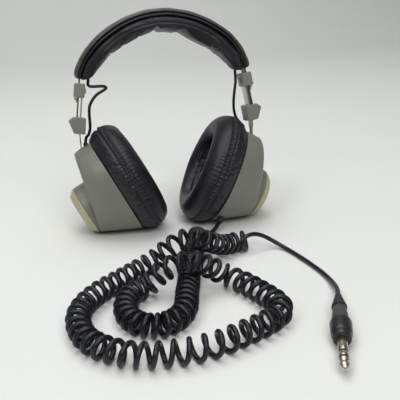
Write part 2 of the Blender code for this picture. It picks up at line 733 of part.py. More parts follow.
def add_plug(floor):
    """A two-channel quarter-inch plug: boot, grip, collar, sleeve, ring, tip and their insulators."""
    run = Vector((*PLUG_ALONG, 0))
    place = dict(location=PLUG_START, rotation=Vector((0, 0, 1)).rotation_difference(run).to_euler())
    sleeve = SLEEVE_RADIUS
    pieces = (
        ("plug_strain_relief", plug_boot(0.3, 18.0), BLACK_RUBBER),
        ("plug_body", [(0, 18.6), (5.2, 18.6), (5.6, 19.2), (5.6, 37.0), (0, 37.0)], GREY_PLASTIC),
        ("plug_collar", [(0, 37.3), (6.6, 37.3), (7.0, 38.0), (7.0, 50.5), (6.6, 51.2), (5.8, 51.6),
                         (5.8, 55.6), (5.3, 56.1), (0, 56.1)], BLACK_PLASTIC),
        ("plug_sleeve", [(0, 56.4), (sleeve, 56.4), (sleeve, 70.0), (0, 70.0)], NICKEL),
        ("plug_ring", [(0, 71.9), (sleeve, 71.9), (sleeve, 76.0), (0, 76.0)], NICKEL),
        ("plug_tip", [(0, 77.9), (sleeve, 77.9), (sleeve, 79.0), (2.1, 80.9), (2.1, 81.4), (3.1, 83.0),
                      (3.0, 84.0), (1.2, 87.0), (0, 87.3)], NICKEL),
    )
    for name, profile, look in pieces:
        add_mesh(name, lathe(profile, PLUG_SIDES), look, floor, sharp_deg=30, **place)
    for number, low in enumerate((70.3, 76.3), 1):
        ring = lathe([(0, low), (sleeve - 0.05, low), (sleeve - 0.05, low + 1.3), (0, low + 1.3)], PLUG_SIDES)
        add_mesh(f"plug_insulator_{number}", ring, BLACK_PLASTIC, floor, sharp_deg=30, **place)


# ---------------------------------------------------------------- assembly

def main():
    clear_scene()
    floor = empty("floor_frame", None, (0, STAND_Y, 0))
    design = empty("design_frame", None, (0, STAND_Y, STAND_Z), (-LEAN, 0, 0))
    pin = pin_point()
    arms = {}
    for prefix, side in (("right", 1), ("left", -1)):
        pivot = empty(prefix + "_pivot", design, (side * pin[0], 0, pin[1]))
        turned = empty(prefix + "_cup_turn", pivot, (0, 0, 0), (0, side * TILT, 0))
        cup = empty(prefix + "_cup_frame", turned, (-side * PIN_A, 0, -PIN_B))
        arm_at = Vector((ARM_X, ARM_H)) - pin
        arms[side] = empty(prefix + "_arm", pivot, (side * arm_at[0], 0, arm_at[1]), (0, -side * ARM_ANGLE, 0))
        add_cup(prefix, side, cup)
        add_stirrup_strip(prefix + "_stirrup_strip", side, pivot)
        add_upper_block(prefix, side, arms[side])
    add_headband(design, arms)
    add_leads(design)
    add_cord(floor)
    add_plug(floor)


main()
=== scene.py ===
"""Vintage over-ear stereo headphones with a curly cord, on a pale studio floor.

Lengths are worked out in millimetres in the headset's own leaning axes (x across, v from front to
back, h up) and turned into metres by MM. The cord's route is measured on the floor.
"""

import json
import math

import bmesh
import bpy
import numpy as np
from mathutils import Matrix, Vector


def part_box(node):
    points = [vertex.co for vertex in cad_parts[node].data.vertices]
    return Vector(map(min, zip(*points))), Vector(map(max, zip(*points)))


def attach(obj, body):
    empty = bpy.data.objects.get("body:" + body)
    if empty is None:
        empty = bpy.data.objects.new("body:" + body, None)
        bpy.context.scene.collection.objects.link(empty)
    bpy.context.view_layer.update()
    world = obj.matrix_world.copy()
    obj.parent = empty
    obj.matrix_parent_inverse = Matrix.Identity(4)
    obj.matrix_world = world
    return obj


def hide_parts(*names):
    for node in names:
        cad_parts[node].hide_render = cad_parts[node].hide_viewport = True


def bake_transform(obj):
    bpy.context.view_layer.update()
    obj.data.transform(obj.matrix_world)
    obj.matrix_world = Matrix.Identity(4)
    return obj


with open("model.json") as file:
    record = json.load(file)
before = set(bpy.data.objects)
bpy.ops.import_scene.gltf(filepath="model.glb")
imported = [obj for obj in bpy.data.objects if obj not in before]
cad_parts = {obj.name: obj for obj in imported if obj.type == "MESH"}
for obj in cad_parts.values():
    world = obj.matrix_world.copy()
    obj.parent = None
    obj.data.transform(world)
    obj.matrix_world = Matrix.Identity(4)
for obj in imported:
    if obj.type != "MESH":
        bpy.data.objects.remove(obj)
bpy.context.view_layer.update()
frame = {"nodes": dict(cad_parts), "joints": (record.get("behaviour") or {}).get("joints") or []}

bl_info = {
    "name": "Curly Cord Headphones",
    "version": (1, 0, 0),
    "blender": (4, 5, 0),
    "location": "3D View > Sidebar > Headphones",
    "description": "Builds over-ear headphones with moulded cups, vinyl cushions and a curly cord",
    "category": "Add Mesh",
}

MM = 0.001
JOINTS = {joint["name"]: joint for joint in frame["joints"]}
SIDES = (("right", 1), ("left", -1))

# Cup axes: a runs outward, w front to back and b up the rim, from the rim's lowest point
CUP_TILT = math.radians(26.8)
RIM_X = 30.6
PIN_A = 9.0
PIN_B = 82.0
CORNER = 2.2
FACET = 0.98
BOSS_B = 39.7
BOSS_RADIUS = 22.3
BOSS_FACE = 33.2
WALL = 2.2
CUSHION_B = 45.3
SEAM_A = -14.0

# Arm axes: t runs up the arm and o outward, from the lower block's centre
ARM_ANGLE = math.radians(9.0)
ARM_X = 78.2
ARM_H = 95.4
STRIP_OFFSET = 1.5
COVER_T = 40.2
APEX_H = 184.0
SIDE_PULL = 21.0
TOP_PULL = 37.0
COVER_HALF = 19.0
NECK_HALF = 7.5
PAD_DEPTH = 13.0
CROWN = 5.0
BAND_CLEAR = 0.8

COIL_RADIUS = 6.9
SLEEVE_RADIUS = 3.175
PLUG_START = (80.5, -180.0, 7.0)
PLUG_ALONG = (-0.367, -0.930, 0.0)

# Azimuth, elevation and roll, then metres
CAMERA_DEGREES = (-12.3, 20.0, -1.75)
CAMERA_AT = (-0.0966, -0.5632, 0.2274)
LENS_MM = 59.4

# Cloth frames and pressure, points round the cushion's section, and how many times finer a settled grid gets
SETTLE_FRAMES = 20
PRESSURE = 4.0
SECTION_POINTS = 32
FINER = 4
RING_POWER = 2.1


# ---------------------------------------------------------------- axes of the headset

ACROSS = np.array((1.0, 0.0, 0.0))
BACKWARD = np.array(JOINTS["right_tilt"]["axis"])
UPWARD = np.cross(ACROSS, BACKWARD)
PIN_X = RIM_X + PIN_B * math.sin(CUP_TILT) + PIN_A * math.cos(CUP_TILT)
PIN_H = PIN_B * math.cos(CUP_TILT) - PIN_A * math.sin(CUP_TILT)
ORIGIN = np.array(JOINTS["right_tilt"]["pos_m"]) - MM * (PIN_X * ACROSS + PIN_H * UPWARD)


def place(x, v, h):
    """World points in metres of the headset's own x, v and h in millimetres."""
    x, v, h = np.broadcast_arrays(x, v, h)
    return ORIGIN + MM * (x[..., None] * ACROSS + v[..., None] * BACKWARD + h[..., None] * UPWARD)


def cup_place(side, a, w, b):
    """World points of cup coordinates: a outward, w to the back and b up the tilted rim."""
    x = side * (RIM_X + b * math.sin(CUP_TILT) + a * math.cos(CUP_TILT))
    h = b * math.cos(CUP_TILT) - a * math.sin(CUP_TILT)
    return place(x, w, h)


def arm_xh(o, t):
    """x and h of a point o outward and t up the right arm."""
    x = ARM_X + o * math.cos(ARM_ANGLE) - t * math.sin(ARM_ANGLE)
    return x, ARM_H + o * math.sin(ARM_ANGLE) + t * math.cos(ARM_ANGLE)


def floor_place(points):
    """World points of a route on the floor, measured from midway between the cups."""
    return MM * np.asarray(points, float) + (0.0, ORIGIN[1], 0.0)


# ---------------------------------------------------------------- shapes

def power(value, exponent):
    """A power that keeps its sign, as superellipses need."""
    return np.sign(value) * np.abs(value) ** exponent


def unit(vectors):
    """The vectors at length 1."""
    return vectors / np.linalg.norm(vectors, axis=-1, keepdims=True)


def walked_along(points):
    """The distance walked along a polyline to each of its points."""
    return np.concatenate(([0.0], np.cumsum(np.linalg.norm(np.diff(points, axis=0), axis=1))))


def catmull_rom(p0, p1, p2, p3, u):
    """The cubic from p1 to p2 whose slopes there are half of p2 - p0 and of p3 - p1."""
    return 0.5 * (2 * p1 + (p2 - p0) * u + (2 * p0 - 5 * p1 + 4 * p2 - p3) * u ** 2
                  + (3 * p1 - p0 - 3 * p2 + p3) * u ** 3)


def smooth_curve(points, count, closed=False):
    """count points, evenly spaced, on the Catmull-Rom curve through the given points."""
    given = np.asarray(points, float)
    if closed:
        padded = np.vstack((given[-1:], given, given[:2]))
    else:
        padded = np.vstack((2 * given[0] - given[1], given, 2 * given[-1] - given[-2]))
    p0, p1, p2, p3 = padded[:-3, None], padded[1:-2, None], padded[2:-1, None], padded[3:, None]
    u = np.linspace(0, 1, 24, endpoint=False)[None, :, None]
    fine = catmull_rom(p0, p1, p2, p3, u)
    fine = np.vstack((fine.reshape(-1, given.shape[1]), given[:1] if closed else given[-1:]))
    return even_steps(fine, count + 1)[:-1] if closed else even_steps(fine, count)


def even_steps(fine, count):
    """Resamples a polyline at equal steps of its length."""
    walked = walked_along(fine)
    goals = np.linspace(0, walked[-1], count)
    return np.stack([np.interp(goals, walked, column) for column in fine.T], 1)


def ripple(u, v, seed, waves, low, high):
    """Uneven folds within -1 to 1: sine waves with whole counts round u and slow phases along v."""
    rng = np.random.default_rng(seed)
    total = 0.0
    for count in rng.integers(low, high + 1, waves):
        total = total + np.sin(2 * np.pi * (count * u + rng.uniform()) + rng.uniform(-3, 3) * v)
    return total / waves


def grid_faces(rows, columns, rows_closed, columns_closed=True):
    """Quads of a grid whose points are numbered row by row."""
    r = np.arange(rows if rows_closed else rows - 1)[:, None]
    c = np.arange(columns if columns_closed else columns - 1)[None, :]
    r2 = (r + 1) % rows
    c2 = (c + 1) % columns
    corners = (r * columns + c, r * columns + c2, r2 * columns + c2, r2 * columns + c)
    return np.stack(corners, -1).reshape(-1, 4)


def skin_faces(rows, columns, ring, capped=True):
    """Faces of a grid closed round each row. Its rows also close on each other, or it gets end faces."""
    faces = grid_faces(rows, columns, ring).tolist()
    if capped and not ring:
        faces.append(list(range(columns))[::-1])
        faces.append(list(range((rows - 1) * columns, rows * columns)))
    return faces


def face_outward(mesh, merge_first):
    bm = bmesh.new()
    bm.from_mesh(mesh)
    if merge_first:
        bmesh.ops.remove_doubles(bm, verts=bm.verts, dist=1e-6)
    bmesh.ops.recalc_face_normals(bm, faces=bm.faces)
    bm.to_mesh(mesh)
    bm.free()


def smooth(mesh, sharp_deg):
    """Shades a mesh smooth, but for edges sharper than an angle."""
    mesh.shade_smooth()
    mesh.set_sharp_from_angle(angle=math.radians(sharp_deg))


def finished(name, mesh, material, body, sharp_deg=None):
    """Links a mesh as a piece that rides on a body."""
    obj = bpy.data.objects.new(name, mesh)
    bpy.context.scene.collection.objects.link(obj)
    mesh.materials.append(material)
    if sharp_deg is not None:
        smooth(mesh, sharp_deg)
    if body:
        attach(obj, body)
    return obj


def mesh_of(name, points, faces):
    """A closed mesh with its faces turned outward."""
    mesh = bpy.data.meshes.new(name)
    mesh.from_pydata(points.reshape(-1, 3).tolist(), [], faces)
    face_outward(mesh, True)
    return mesh


def grid_mesh(name, points, ring=False, capped=True):
    """A mesh through a grid of points that closes round each row."""
    return mesh_of(name, points, skin_faces(*points.shape[:2], ring, capped))


def joined(name, meshes):
    """Several meshes as one, without merging them."""
    bm = bmesh.new()
    for mesh in meshes:
        bm.from_mesh(mesh)
        bpy.data.meshes.remove(mesh)
    whole = bpy.data.meshes.new(name)
    bm.to_mesh(whole)
    bm.free()
    return whole


def turned(profile, steps, start, along):
    """World points of a profile of (radius, distance) in millimetres turned about a line."""
    along = unit(np.asarray(along, float))
    aside = unit(np.cross(along, (0.0, 0.0, 1.0)))
    above = np.cross(aside, along)
    radius, run = np.asarray(profile, float).T[:, :, None]
    turn = np.linspace(0, 2 * np.pi, steps, endpoint=False)[None, :]
    round_part = np.cos(turn)[..., None] * aside + np.sin(turn)[..., None] * above
    return np.asarray(start) + MM * (radius[..., None] * round_part + run[..., None] * along)


def tube_mesh(name, path, radius, side_hint, sides=14):
    """A round tube along world points, its rings set square to the path. side_hint is never along it."""
    tangent = unit(np.gradient(path, axis=0))
    first = unit(np.cross(tangent, side_hint))
    second = np.cross(tangent, first)
    turn = np.linspace(0, 2 * np.pi, sides, endpoint=False)
    rings = path[:, None] + radius * (np.cos(turn)[None, :, None] * first[:, None]
                                      + np.sin(turn)[None, :, None] * second[:, None])
    return grid_mesh(name, rings)


def cut(obj, tools):
    """Applies Booleans to an unlinked piece: each tool is (operation, mesh)."""
    scratch = []
    for operation, mesh in tools:
        tool = bpy.data.objects.new("tool", mesh)
        bpy.context.scene.collection.objects.link(tool)
        scratch.append(tool)
        modifier = obj.modifiers.new("cut", "BOOLEAN")
        modifier.operation = operation
        modifier.object = tool
        modifier.solver = "EXACT"
    graph = bpy.context.evaluated_depsgraph_get()
    made = bpy.data.meshes.new_from_object(obj.evaluated_get(graph))
    obj.modifiers.clear()
    obj.data = made
    for tool in scratch:
        bpy.data.objects.remove(tool, do_unlink=True)


def refined(grid, factor, axis, closed):
    """A grid with factor times the points along one axis, on the Catmull-Rom curves through its own."""
    grid = np.moveaxis(grid, axis, 0)
    count = len(grid)
    at = np.arange(count * factor if closed else (count - 1) * factor + 1) / factor
    low = np.floor(at).astype(int)
    u = (at - low).reshape((-1,) + (1,) * (grid.ndim - 1))
    near = [(low + k) % count if closed else np.clip(low + k, 0, count - 1) for k in (-1, 0, 1, 2)]
    return np.moveaxis(catmull_rom(*(grid[index] for index in near), u), 0, axis)


def grid_normals(grid, closed):
    """Unit normals of a grid that closes along its second axis, and along its first too if closed."""
    if closed:
        along = np.roll(grid, -1, 0) - np.roll(grid, 1, 0)
    else:
        along = np.gradient(grid, axis=0)
    across = np.roll(grid, -1, 1) - np.roll(grid, 1, 1)
    normal = np.cross(along, across)
    normal /= np.linalg.norm(normal, axis=2)[..., None] + 1e-12
    middle = grid.mean(axis=1, keepdims=True)
    return normal * np.sign(np.sum(normal * (grid - middle)))


def inflated(grid, held, closed, slack, cap_mm):
    """The grid as vinyl cloth blown up from inside, without gravity. Its held points are sewn down, its cloth
    is cut larger by the slack, and no point moves further than the cap."""
    scene = bpy.context.scene
    mesh = bpy.data.meshes.new("blank")
    rows, columns = grid.shape[:2]
    mesh.from_pydata(grid.reshape(-1, 3).tolist(), [], skin_faces(rows, columns, closed))
    face_outward(mesh, False)
    blank = bpy.data.objects.new("blank", mesh)
    scene.collection.objects.link(blank)
    group = blank.vertex_groups.new(name="held")
    group.add(np.flatnonzero(np.broadcast_to(held, (rows, columns)).ravel()).tolist(), 1.0, "REPLACE")
    cloth = blank.modifiers.new("cloth", "CLOTH").settings
    cloth.vertex_group_mass = "held"
    cloth.quality = 6
    cloth.use_pressure = True
    cloth.uniform_pressure_force = PRESSURE
    cloth.shrink_min = -slack
    cloth.bending_stiffness = 0.4
    cloth.effector_weights.gravity = 0.0
    for frame_number in range(1, SETTLE_FRAMES + 1):
        scene.frame_set(frame_number)
    settled = blank.evaluated_get(bpy.context.evaluated_depsgraph_get()).data
    coordinates = np.empty(rows * columns * 3, np.float32)
    settled.vertices.foreach_get("co", coordinates)
    move = coordinates.reshape(grid.shape) - grid
    reach = np.linalg.norm(move, axis=2)[..., None]
    bpy.data.objects.remove(blank, do_unlink=True)
    bpy.data.meshes.remove(mesh)
    scene.frame_set(1)
    return grid + move * np.minimum(1.0, cap_mm * MM / (reach + 1e-9))


# ---------------------------------------------------------------- materials

def linear(hex_colour):
    """An sRGB hex colour as linear RGBA."""
    values = [int(hex_colour[i:i + 2], 16) / 255 for i in (0, 2, 4)]
    return [v / 12.92 if v <= 0.04045 else ((v + 0.055) / 1.055) ** 2.4 for v in values] + [1.0]


def add_node(tree, kind, values, output=0, **attributes):
    """Adds a node, sets its attributes, sets or links its inputs, and gives one of its outputs."""
    made = tree.nodes.new(kind)
    for name, value in attributes.items():
        setattr(made, name, value)
    for key, value in values.items():
        if isinstance(value, bpy.types.NodeSocket):
            tree.links.new(value, made.inputs[key])
        else:
            made.inputs[key].default_value = value
    return made.outputs[output]


def start_material(name, **values):
    """A material and its node tree. The shader's inputs are named with _ for a space."""
    made = bpy.data.materials.new(name)
    made.use_nodes = True
    for key, value in values.items():
        made.node_tree.nodes["Principled BSDF"].inputs[key.replace("_", " ")].default_value = value
    return made, made.node_tree


def surface(made, colour, rough=None, relief=None):
    """Feeds a material's shader, and gives the material. colour is a factor and the two colours it goes
    between. rough is a pattern, the range read from it and the roughness that range gives. relief is the
    inputs of a bump."""
    tree = made.node_tree
    fed = {"Base Color": add_node(tree, "ShaderNodeMix", dict(zip((0, 6, 7), colour)), 2, data_type="RGBA")}
    if rough is not None:
        fed["Roughness"] = add_node(tree, "ShaderNodeMapRange", dict(enumerate(rough)))
    if relief is not None:
        fed["Normal"] = add_node(tree, "ShaderNodeBump", relief)
    for key, source in fed.items():
        tree.links.new(source, tree.nodes["Principled BSDF"].inputs[key])
    return made


def object_pattern(tree, size_mm, values, kind="ShaderNodeTexNoise", output="Fac", stretch=(1, 1, 1),
                   **attributes):
    """A pattern on Object coordinates whose features are about size_mm across."""
    where = add_node(tree, "ShaderNodeTexCoord", {}, "Object")
    placed = add_node(tree, "ShaderNodeMapping", {"Vector": where, "Scale": stretch})
    settings = {"Vector": placed, "Scale": 1.0 / (size_mm * MM), **values}
    return add_node(tree, kind, settings, output, **attributes)


def shade(colour, factor):
    return [c * factor for c in colour[:3]] + [1.0]


def moulded_abs(name, colour, roughness=0.42, scuffs=1.0):
    """ABS from a spark-eroded mould: a fine even grain, faint flow shading and handling rubs."""
    made, tree = start_material(name, Roughness=roughness, IOR=1.53)
    cloud = object_pattern(tree, 22.0, {"Detail": 3.0})
    tones = {0: cloud, 6: shade(colour, 0.93), 7: shade(colour, 1.07)}
    toned = add_node(tree, "ShaderNodeMix", tones, 2, data_type="RGBA")
    rub = object_pattern(tree, 5.0, {"Detail": 6.0, "Roughness": 0.7}, stretch=(1, 1, 3))
    rub = add_node(tree, "ShaderNodeMapRange", {0: rub, 1: 0.60, 2: 0.78})
    worn = add_node(tree, "ShaderNodeMath", {0: rub, 1: 0.35 * scuffs}, operation="MULTIPLY")
    grain = object_pattern(tree, 0.9, {"Detail": 4.0, "Roughness": 0.65})
    return surface(made, (worn, toned, shade(colour, 1.35)),
                   (rub, 0.0, 1.0, roughness - 0.04, roughness + 0.14),
                   {"Height": grain, "Distance": 0.05 * MM})


def coated_vinyl(name, colour, painted_sheen_colour):
    """Calendered vinyl over foam: embossed hide grain, soft creases, a bluish-tinted gloss, and a painted
    sheen: a lighter bluish colour on the crease highs.
    """
    made, tree = start_material(name, Roughness=0.44, IOR=1.48, Coat_Weight=0.1, Coat_Roughness=0.25,
                                Specular_Tint=(0.88, 0.89, 1.0, 1.0))
    cells = object_pattern(tree, 1.1, {"Randomness": 1.0}, "ShaderNodeTexVoronoi", "Distance",
                           feature="DISTANCE_TO_EDGE")
    pebbles = add_node(tree, "ShaderNodeMapRange", {0: cells, 1: 0.0, 2: 0.12})
    embossed = add_node(tree, "ShaderNodeBump", {"Height": pebbles, "Distance": 0.03 * MM})
    creases = object_pattern(tree, 7.0, {"Detail": 5.0, "Roughness": 0.6, "Distortion": 0.6})
    # Painted sheen: the crease highs take the lighter bluish second colour
    folds = add_node(tree, "ShaderNodeMapRange", {0: creases, 1: 0.35, 2: 0.65})
    return surface(made, (folds, colour, painted_sheen_colour), (creases, 0.3, 0.7, 0.38, 0.52),
                   {"Height": creases, "Distance": 0.7 * MM, "Strength": 0.5, "Normal": embossed})


def pvc_jacket(name, colour):
    """Extruded flexible PVC: even and slightly waxy, with faint drag marks and dust."""
    made, tree = start_material(name, Roughness=0.36, IOR=1.5, Specular_Tint=(0.85, 0.87, 1.0, 1.0))
    drag = object_pattern(tree, 3.5, {"Detail": 5.0, "Roughness": 0.6})
    dust = add_node(tree, "ShaderNodeMapRange", {0: drag, 1: 0.4, 2: 0.75})
    return surface(made, (dust, colour, shade(colour, 2.1)), (drag, 0.3, 0.7, 0.30, 0.44),
                   {"Height": drag, "Distance": 0.12 * MM})


def moulded_rubber(name, colour):
    """Soft moulded rubber: matt, with a faint bloom. The driver's hidden ferrite magnet wears it too."""
    made, tree = start_material(name, Roughness=0.6, IOR=1.52)
    bloom = object_pattern(tree, 2.5, {"Detail": 6.0, "Roughness": 0.7})
    return surface(made, (bloom, shade(colour, 0.8), shade(colour, 1.7)), (bloom, 0.3, 0.7, 0.5, 0.7),
                   {"Height": bloom, "Distance": 0.08 * MM})


def plated_metal(name, colour, roughness, line_mm, stretch, tarnish=0.35):
    """Nickel plate over drawn metal: fine lines along the draw, and cloudy tarnish."""
    made, tree = start_material(name, Roughness=roughness, Metallic=1.0)
    lines = object_pattern(tree, line_mm, {"Detail": 6.0, "Roughness": 0.75}, stretch=stretch)
    cloud = object_pattern(tree, 6.0, {"Detail": 5.0, "Roughness": 0.65})
    cloud = add_node(tree, "ShaderNodeMapRange", {0: cloud, 1: 0.45, 2: 0.8})
    stain = add_node(tree, "ShaderNodeMath", {0: cloud, 1: tarnish}, operation="MULTIPLY")
    return surface(made, (stain, colour, shade(colour, 0.45)),
                   (lines, 0.3, 0.7, roughness * 0.75, roughness * 1.5),
                   {"Height": lines, "Distance": 0.03 * MM})


def open_foam(name, colour):
    """Open-cell polyurethane foam: a dark sponge of small pores."""
    made, tree = start_material(name, Roughness=0.95)
    cells = object_pattern(tree, 1.3, {}, "ShaderNodeTexVoronoi", "Distance")
    pores = add_node(tree, "ShaderNodeMapRange", {0: cells, 1: 0.0, 2: 0.6})
    return surface(made, (pores, shade(colour, 1.5), shade(colour, 0.4)),
                   relief={"Height": cells, "Distance": 0.5 * MM})


def sewing_thread(name, colour):
    """Twisted bonded-nylon thread, with its ply as fine slanting lines."""
    made, tree = start_material(name, Roughness=0.5, Sheen_Weight=0.3)
    ply = object_pattern(tree, 0.5, {"Distortion": 0.4}, "ShaderNodeTexWave", stretch=(1, 1, 1.6))
    return surface(made, (ply, shade(colour, 0.7), shade(colour, 1.5)),
                   relief={"Height": ply, "Distance": 0.08 * MM})


def studio_sweep(name, colour):
    """Matt painted paper sweep, very slightly mottled."""
    made, tree = start_material(name, Roughness=0.75, Specular_IOR_Level=0.25)
    mottle = object_pattern(tree, 90.0, {"Detail": 4.0})
    return surface(made, (mottle, shade(colour, 0.975), shade(colour, 1.02)))


def colour_property(label, description, hex_colour):
    return bpy.props.FloatVectorProperty(name=label, description=description, subtype="COLOR", size=4,
                                         min=0.0, max=1.0, default=linear(hex_colour))


def length_property(label, description, millimetres):
    return bpy.props.FloatProperty(name=label, description=description, default=millimetres * MM,
                                   subtype="DISTANCE", unit="LENGTH")


class HEADPHONES_PG_colours(bpy.types.PropertyGroup):
    """Colours of the finishes."""

    shell: colour_property("Shell", "Moulded cups and arm blocks", "74756B")
    cap: colour_property("Cap", "Pale disc on each cup", "ADA68A")
    vinyl: colour_property("Vinyl", "Cushions and headband pad", "0E0E13")
    # Painted sheen: the lighter bluish colour laid on the highs of the vinyl's creases
    vinyl_painted_sheen: colour_property("Vinyl high", "Worn highs of the vinyl", "191920")
    crown: colour_property("Crown", "Outer skin of the headband", "3B3937")
    cord: colour_property("Cord", "Jacket of the curly cord and leads", "0B0B10")
    steel: colour_property("Steel", "Plated strips", "BDB6A8")
    # Painted shade: the sprung band's plated steel is darkened to stand in for the shade it sits in
    dark_steel: colour_property("Dark steel", "Sprung band", "5A5148")
    nickel: colour_property("Nickel", "Plug contacts", "C9C0B2")
    floor: colour_property("Floor", "Studio floor", "E0E1DD")


class HEADPHONES_PG_sizes(bpy.types.PropertyGroup):
    """Sizes that change the look without moving a joint."""

    cord_diameter: length_property("Cord diameter", "Jacket of the curly cord", 3.6)
    lead_diameter: length_property("Lead diameter", "Short leads beside the arms", 2.6)
    pleat_depth: length_property("Pleat depth", "Gathers beside the cushion seam", 0.75)
    piping: length_property("Piping", "Diameter of the headband's edge welt", 1.7)
    pleats: bpy.props.IntProperty(name="Pleats", description="Gathers round each cushion", default=92, min=12)


def colours():
    return bpy.context.scene.headphone_colours


def sizes():
    return bpy.context.scene.headphone_sizes


MADE = {}


def finish(name):
    """The named material, made once."""
    if name not in MADE:
        c = colours()
        recipe, colour, *rest = {
            "olive_abs": (moulded_abs, c.shell),
            "cream_abs": (moulded_abs, c.cap, 0.36, 0.6),
            # The second colour of each vinyl is its painted sheen on the crease highs
            "black_vinyl": (coated_vinyl, c.vinyl, list(c.vinyl_painted_sheen)),
            "crown_vinyl": (coated_vinyl, c.crown, shade(c.crown, 1.5)),
            "pvc_jacket": (pvc_jacket, c.cord),
            "black_rubber": (moulded_rubber, linear("17171A")),
            "black_abs": (moulded_abs, linear("1C1C1F"), 0.4),
            "grey_abs": (moulded_abs, linear("3C3C3E"), 0.5),
            "plated_strip": (plated_metal, c.steel, 0.3, 1.2, (9, 9, 0.5)),
            # Painted shade: the strips' plated finish in a darker colour for the sprung band
            "blued_spring": (plated_metal, c.dark_steel, 0.38, 1.2, (9, 9, 0.5)),
            "bright_nickel": (plated_metal, c.nickel, 0.24, 0.8, (1, 1, 1), 0.2),
            "ferrite": (moulded_rubber, linear("35363A")),
            "mylar": (moulded_abs, linear("8E8A7A"), 0.25),
            "foam": (open_foam, linear("0E0E10")),
            "thread": (sewing_thread, linear("08080A")),
            "floor": (studio_sweep, c.floor),
        }[name]
        MADE[name] = recipe(name, list(colour), *rest)
    return MADE[name]


def dress(node, material):
    """Gives a CAD node a finish."""
    obj = frame["nodes"][node]
    if not obj.material_slots:
        obj.data.materials.append(None)
    for slot in obj.material_slots:
        slot.material = finish(material)


# ---------------------------------------------------------------- camera and cords

class HEADPHONES_OT_camera(bpy.types.Operator):
    """Sets the photograph's view, from above and in front, a little to the left"""

    bl_idname = "headphones.camera"
    bl_label = "Camera"

    def execute(self, context):
        azimuth, elevation, roll = (math.radians(v) for v in CAMERA_DEGREES)
        level = math.cos(elevation)
        back = np.array((math.sin(azimuth) * level, -math.cos(azimuth) * level, math.sin(elevation)))
        right = np.array((math.cos(azimuth), math.sin(azimuth), 0.0))
        up = np.cross(back, right)
        leaned_right = math.cos(roll) * right + math.sin(roll) * up
        leaned_up = -math.sin(roll) * right + math.cos(roll) * up
        camera = bpy.data.objects.new("camera", bpy.data.cameras.new("camera"))
        context.scene.collection.objects.link(camera)
        camera.data.lens = LENS_MM
        camera.data.sensor_width = 36.0
        camera.data.clip_start = 0.01
        matrix = np.eye(4)
        matrix[:3, 0], matrix[:3, 1], matrix[:3, 2] = leaned_right, leaned_up, back
        matrix[:3, 3] = CAMERA_AT
        camera.matrix_world = matrix.T.tolist()
        context.scene.camera = camera
        return {"FINISHED"}


# The curly cord's axis, the run into it and the tail after it. They are the solid model's, but for the
# coil's last point, which adds one open turn, and the tail's first two, which start from that turn
COIL_ROUTE = (
    (11, -49, 8.8), (4, -71, 8.8), (-4, -95, 8.8), (-11, -118, 8.8), (-15, -134, 8.8), (-20, -152, 8.8),
    (-25, -171, 8.8), (-33, -183, 8.8), (-45, -188.5, 8.8), (-57, -184, 8.8), (-63.5, -171, 8.8),
    (-63, -155, 8.8), (-56, -140, 8.8), (-45, -134, 10), (-34, -135, 20), (-24, -138.5, 25.8),
    (-14, -140.5, 27.6), (-4, -138.5, 23), (6, -134.5, 15), (15, -136.5, 9.8), (23, -147, 8.8), (30, -163, 8.8),
    (36, -181, 8.8), (34, -193, 8.8), (22, -203, 8.8), (5, -211, 8.8), (-15, -219, 8.8), (-38, -222, 8.8),
    (-62, -219, 8.8), (-80, -208, 8.8), (-92, -192, 8.8), (-96, -170, 8.8), (-92, -151, 8.8), (-80, -133, 8.8),
    (-62, -117, 8.8), (-46, -103, 9), (-34, -97, 12), (-22, -96.5, 20), (-12, -99, 26.4), (-3, -99.5, 27.6),
    (8, -96, 22), (19, -87, 14), (29, -79, 9.5), (38, -74.5, 8.8), (45, -75, 8.8), (48.5, -80, 8.8),
)
LEAD_OUT_ROUTE = (
    (34.8, -26.4, 6.45), (31.4, -30.6, 4.6), (28.0, -33.6, 3.2), (24.0, -36.4, 2.4), (19.6, -39.8, 2.1),
    (15.0, -44.4, 2.1), (11.6, -48.6, 2.2),
)
TAIL_ROUTE = (
    (47.4, -79.0, 15.7), (51.5, -77.4, 15.3), (56.5, -75.6, 13.4), (62.5, -74.8, 10.2), (68.5, -76.4, 6.6),
    (73.6, -80.4, 3.8), (77.6, -87.0, 2.3), (81, -98, 2.0), (85, -115, 2.0), (88, -132, 2.0),
    (88.6, -146, 2.6), (87.2, -158, 4.2), (84.6, -169, 5.9), (80.6, -179.6, 7.0),
)
# Turns stand further apart where the coil is stretched: (point of the route, pitch in mm)
COIL_PITCH = (
    (0, 4.4), (2, 4.6), (4, 6.6), (6, 7.6), (8, 5.8), (10, 6.8), (12, 7.6), (14, 8.8), (18, 9.2), (20, 8.8),
    (22, 7.8), (24, 8.8), (26, 10.2), (28, 9.0), (30, 8.0), (33, 8.2), (36, 8.8), (39, 9.2), (42, 7.6),
    (45, 6.4),
)
EASE_MM = 4.5


def coil_path():
    """The helix about the coil's axis. Its angle grows by 2 pi per pitch, and its first and last few
    millimetres run straight along the axis, at the bottom at the start and at the top at the end."""
    axis = smooth_curve(COIL_ROUTE, 24000)
    tangent = unit(np.gradient(axis, axis=0))
    level = unit(np.cross((0.0, 0.0, 1.0), tangent))
    upright = np.cross(tangent, level)
    step = np.linalg.norm(np.diff(axis, axis=0), axis=1).mean()
    walked = step * np.arange(len(axis))
    marks = walked_along(np.array(COIL_ROUTE))
    marks *= walked[-1] / marks[-1]
    where, spacing = np.array(COIL_PITCH).T
    pitch = np.interp(walked, marks[where.astype(int)], spacing)
    ends = np.clip(np.minimum(walked, walked[-1] - walked) / EASE_MM, 0, 1)
    rate = ends ** 2 * (3 - 2 * ends) / pitch
    turns = np.concatenate(([0.0], np.cumsum(0.5 * (rate[1:] + rate[:-1]) * step)))
    whole = round(turns[-1] - 0.5) + 0.5
    angle = np.pi + 2 * np.pi * turns * whole / turns[-1]
    return axis + COIL_RADIUS * (np.cos(angle)[:, None] * upright + np.sin(angle)[:, None] * level)


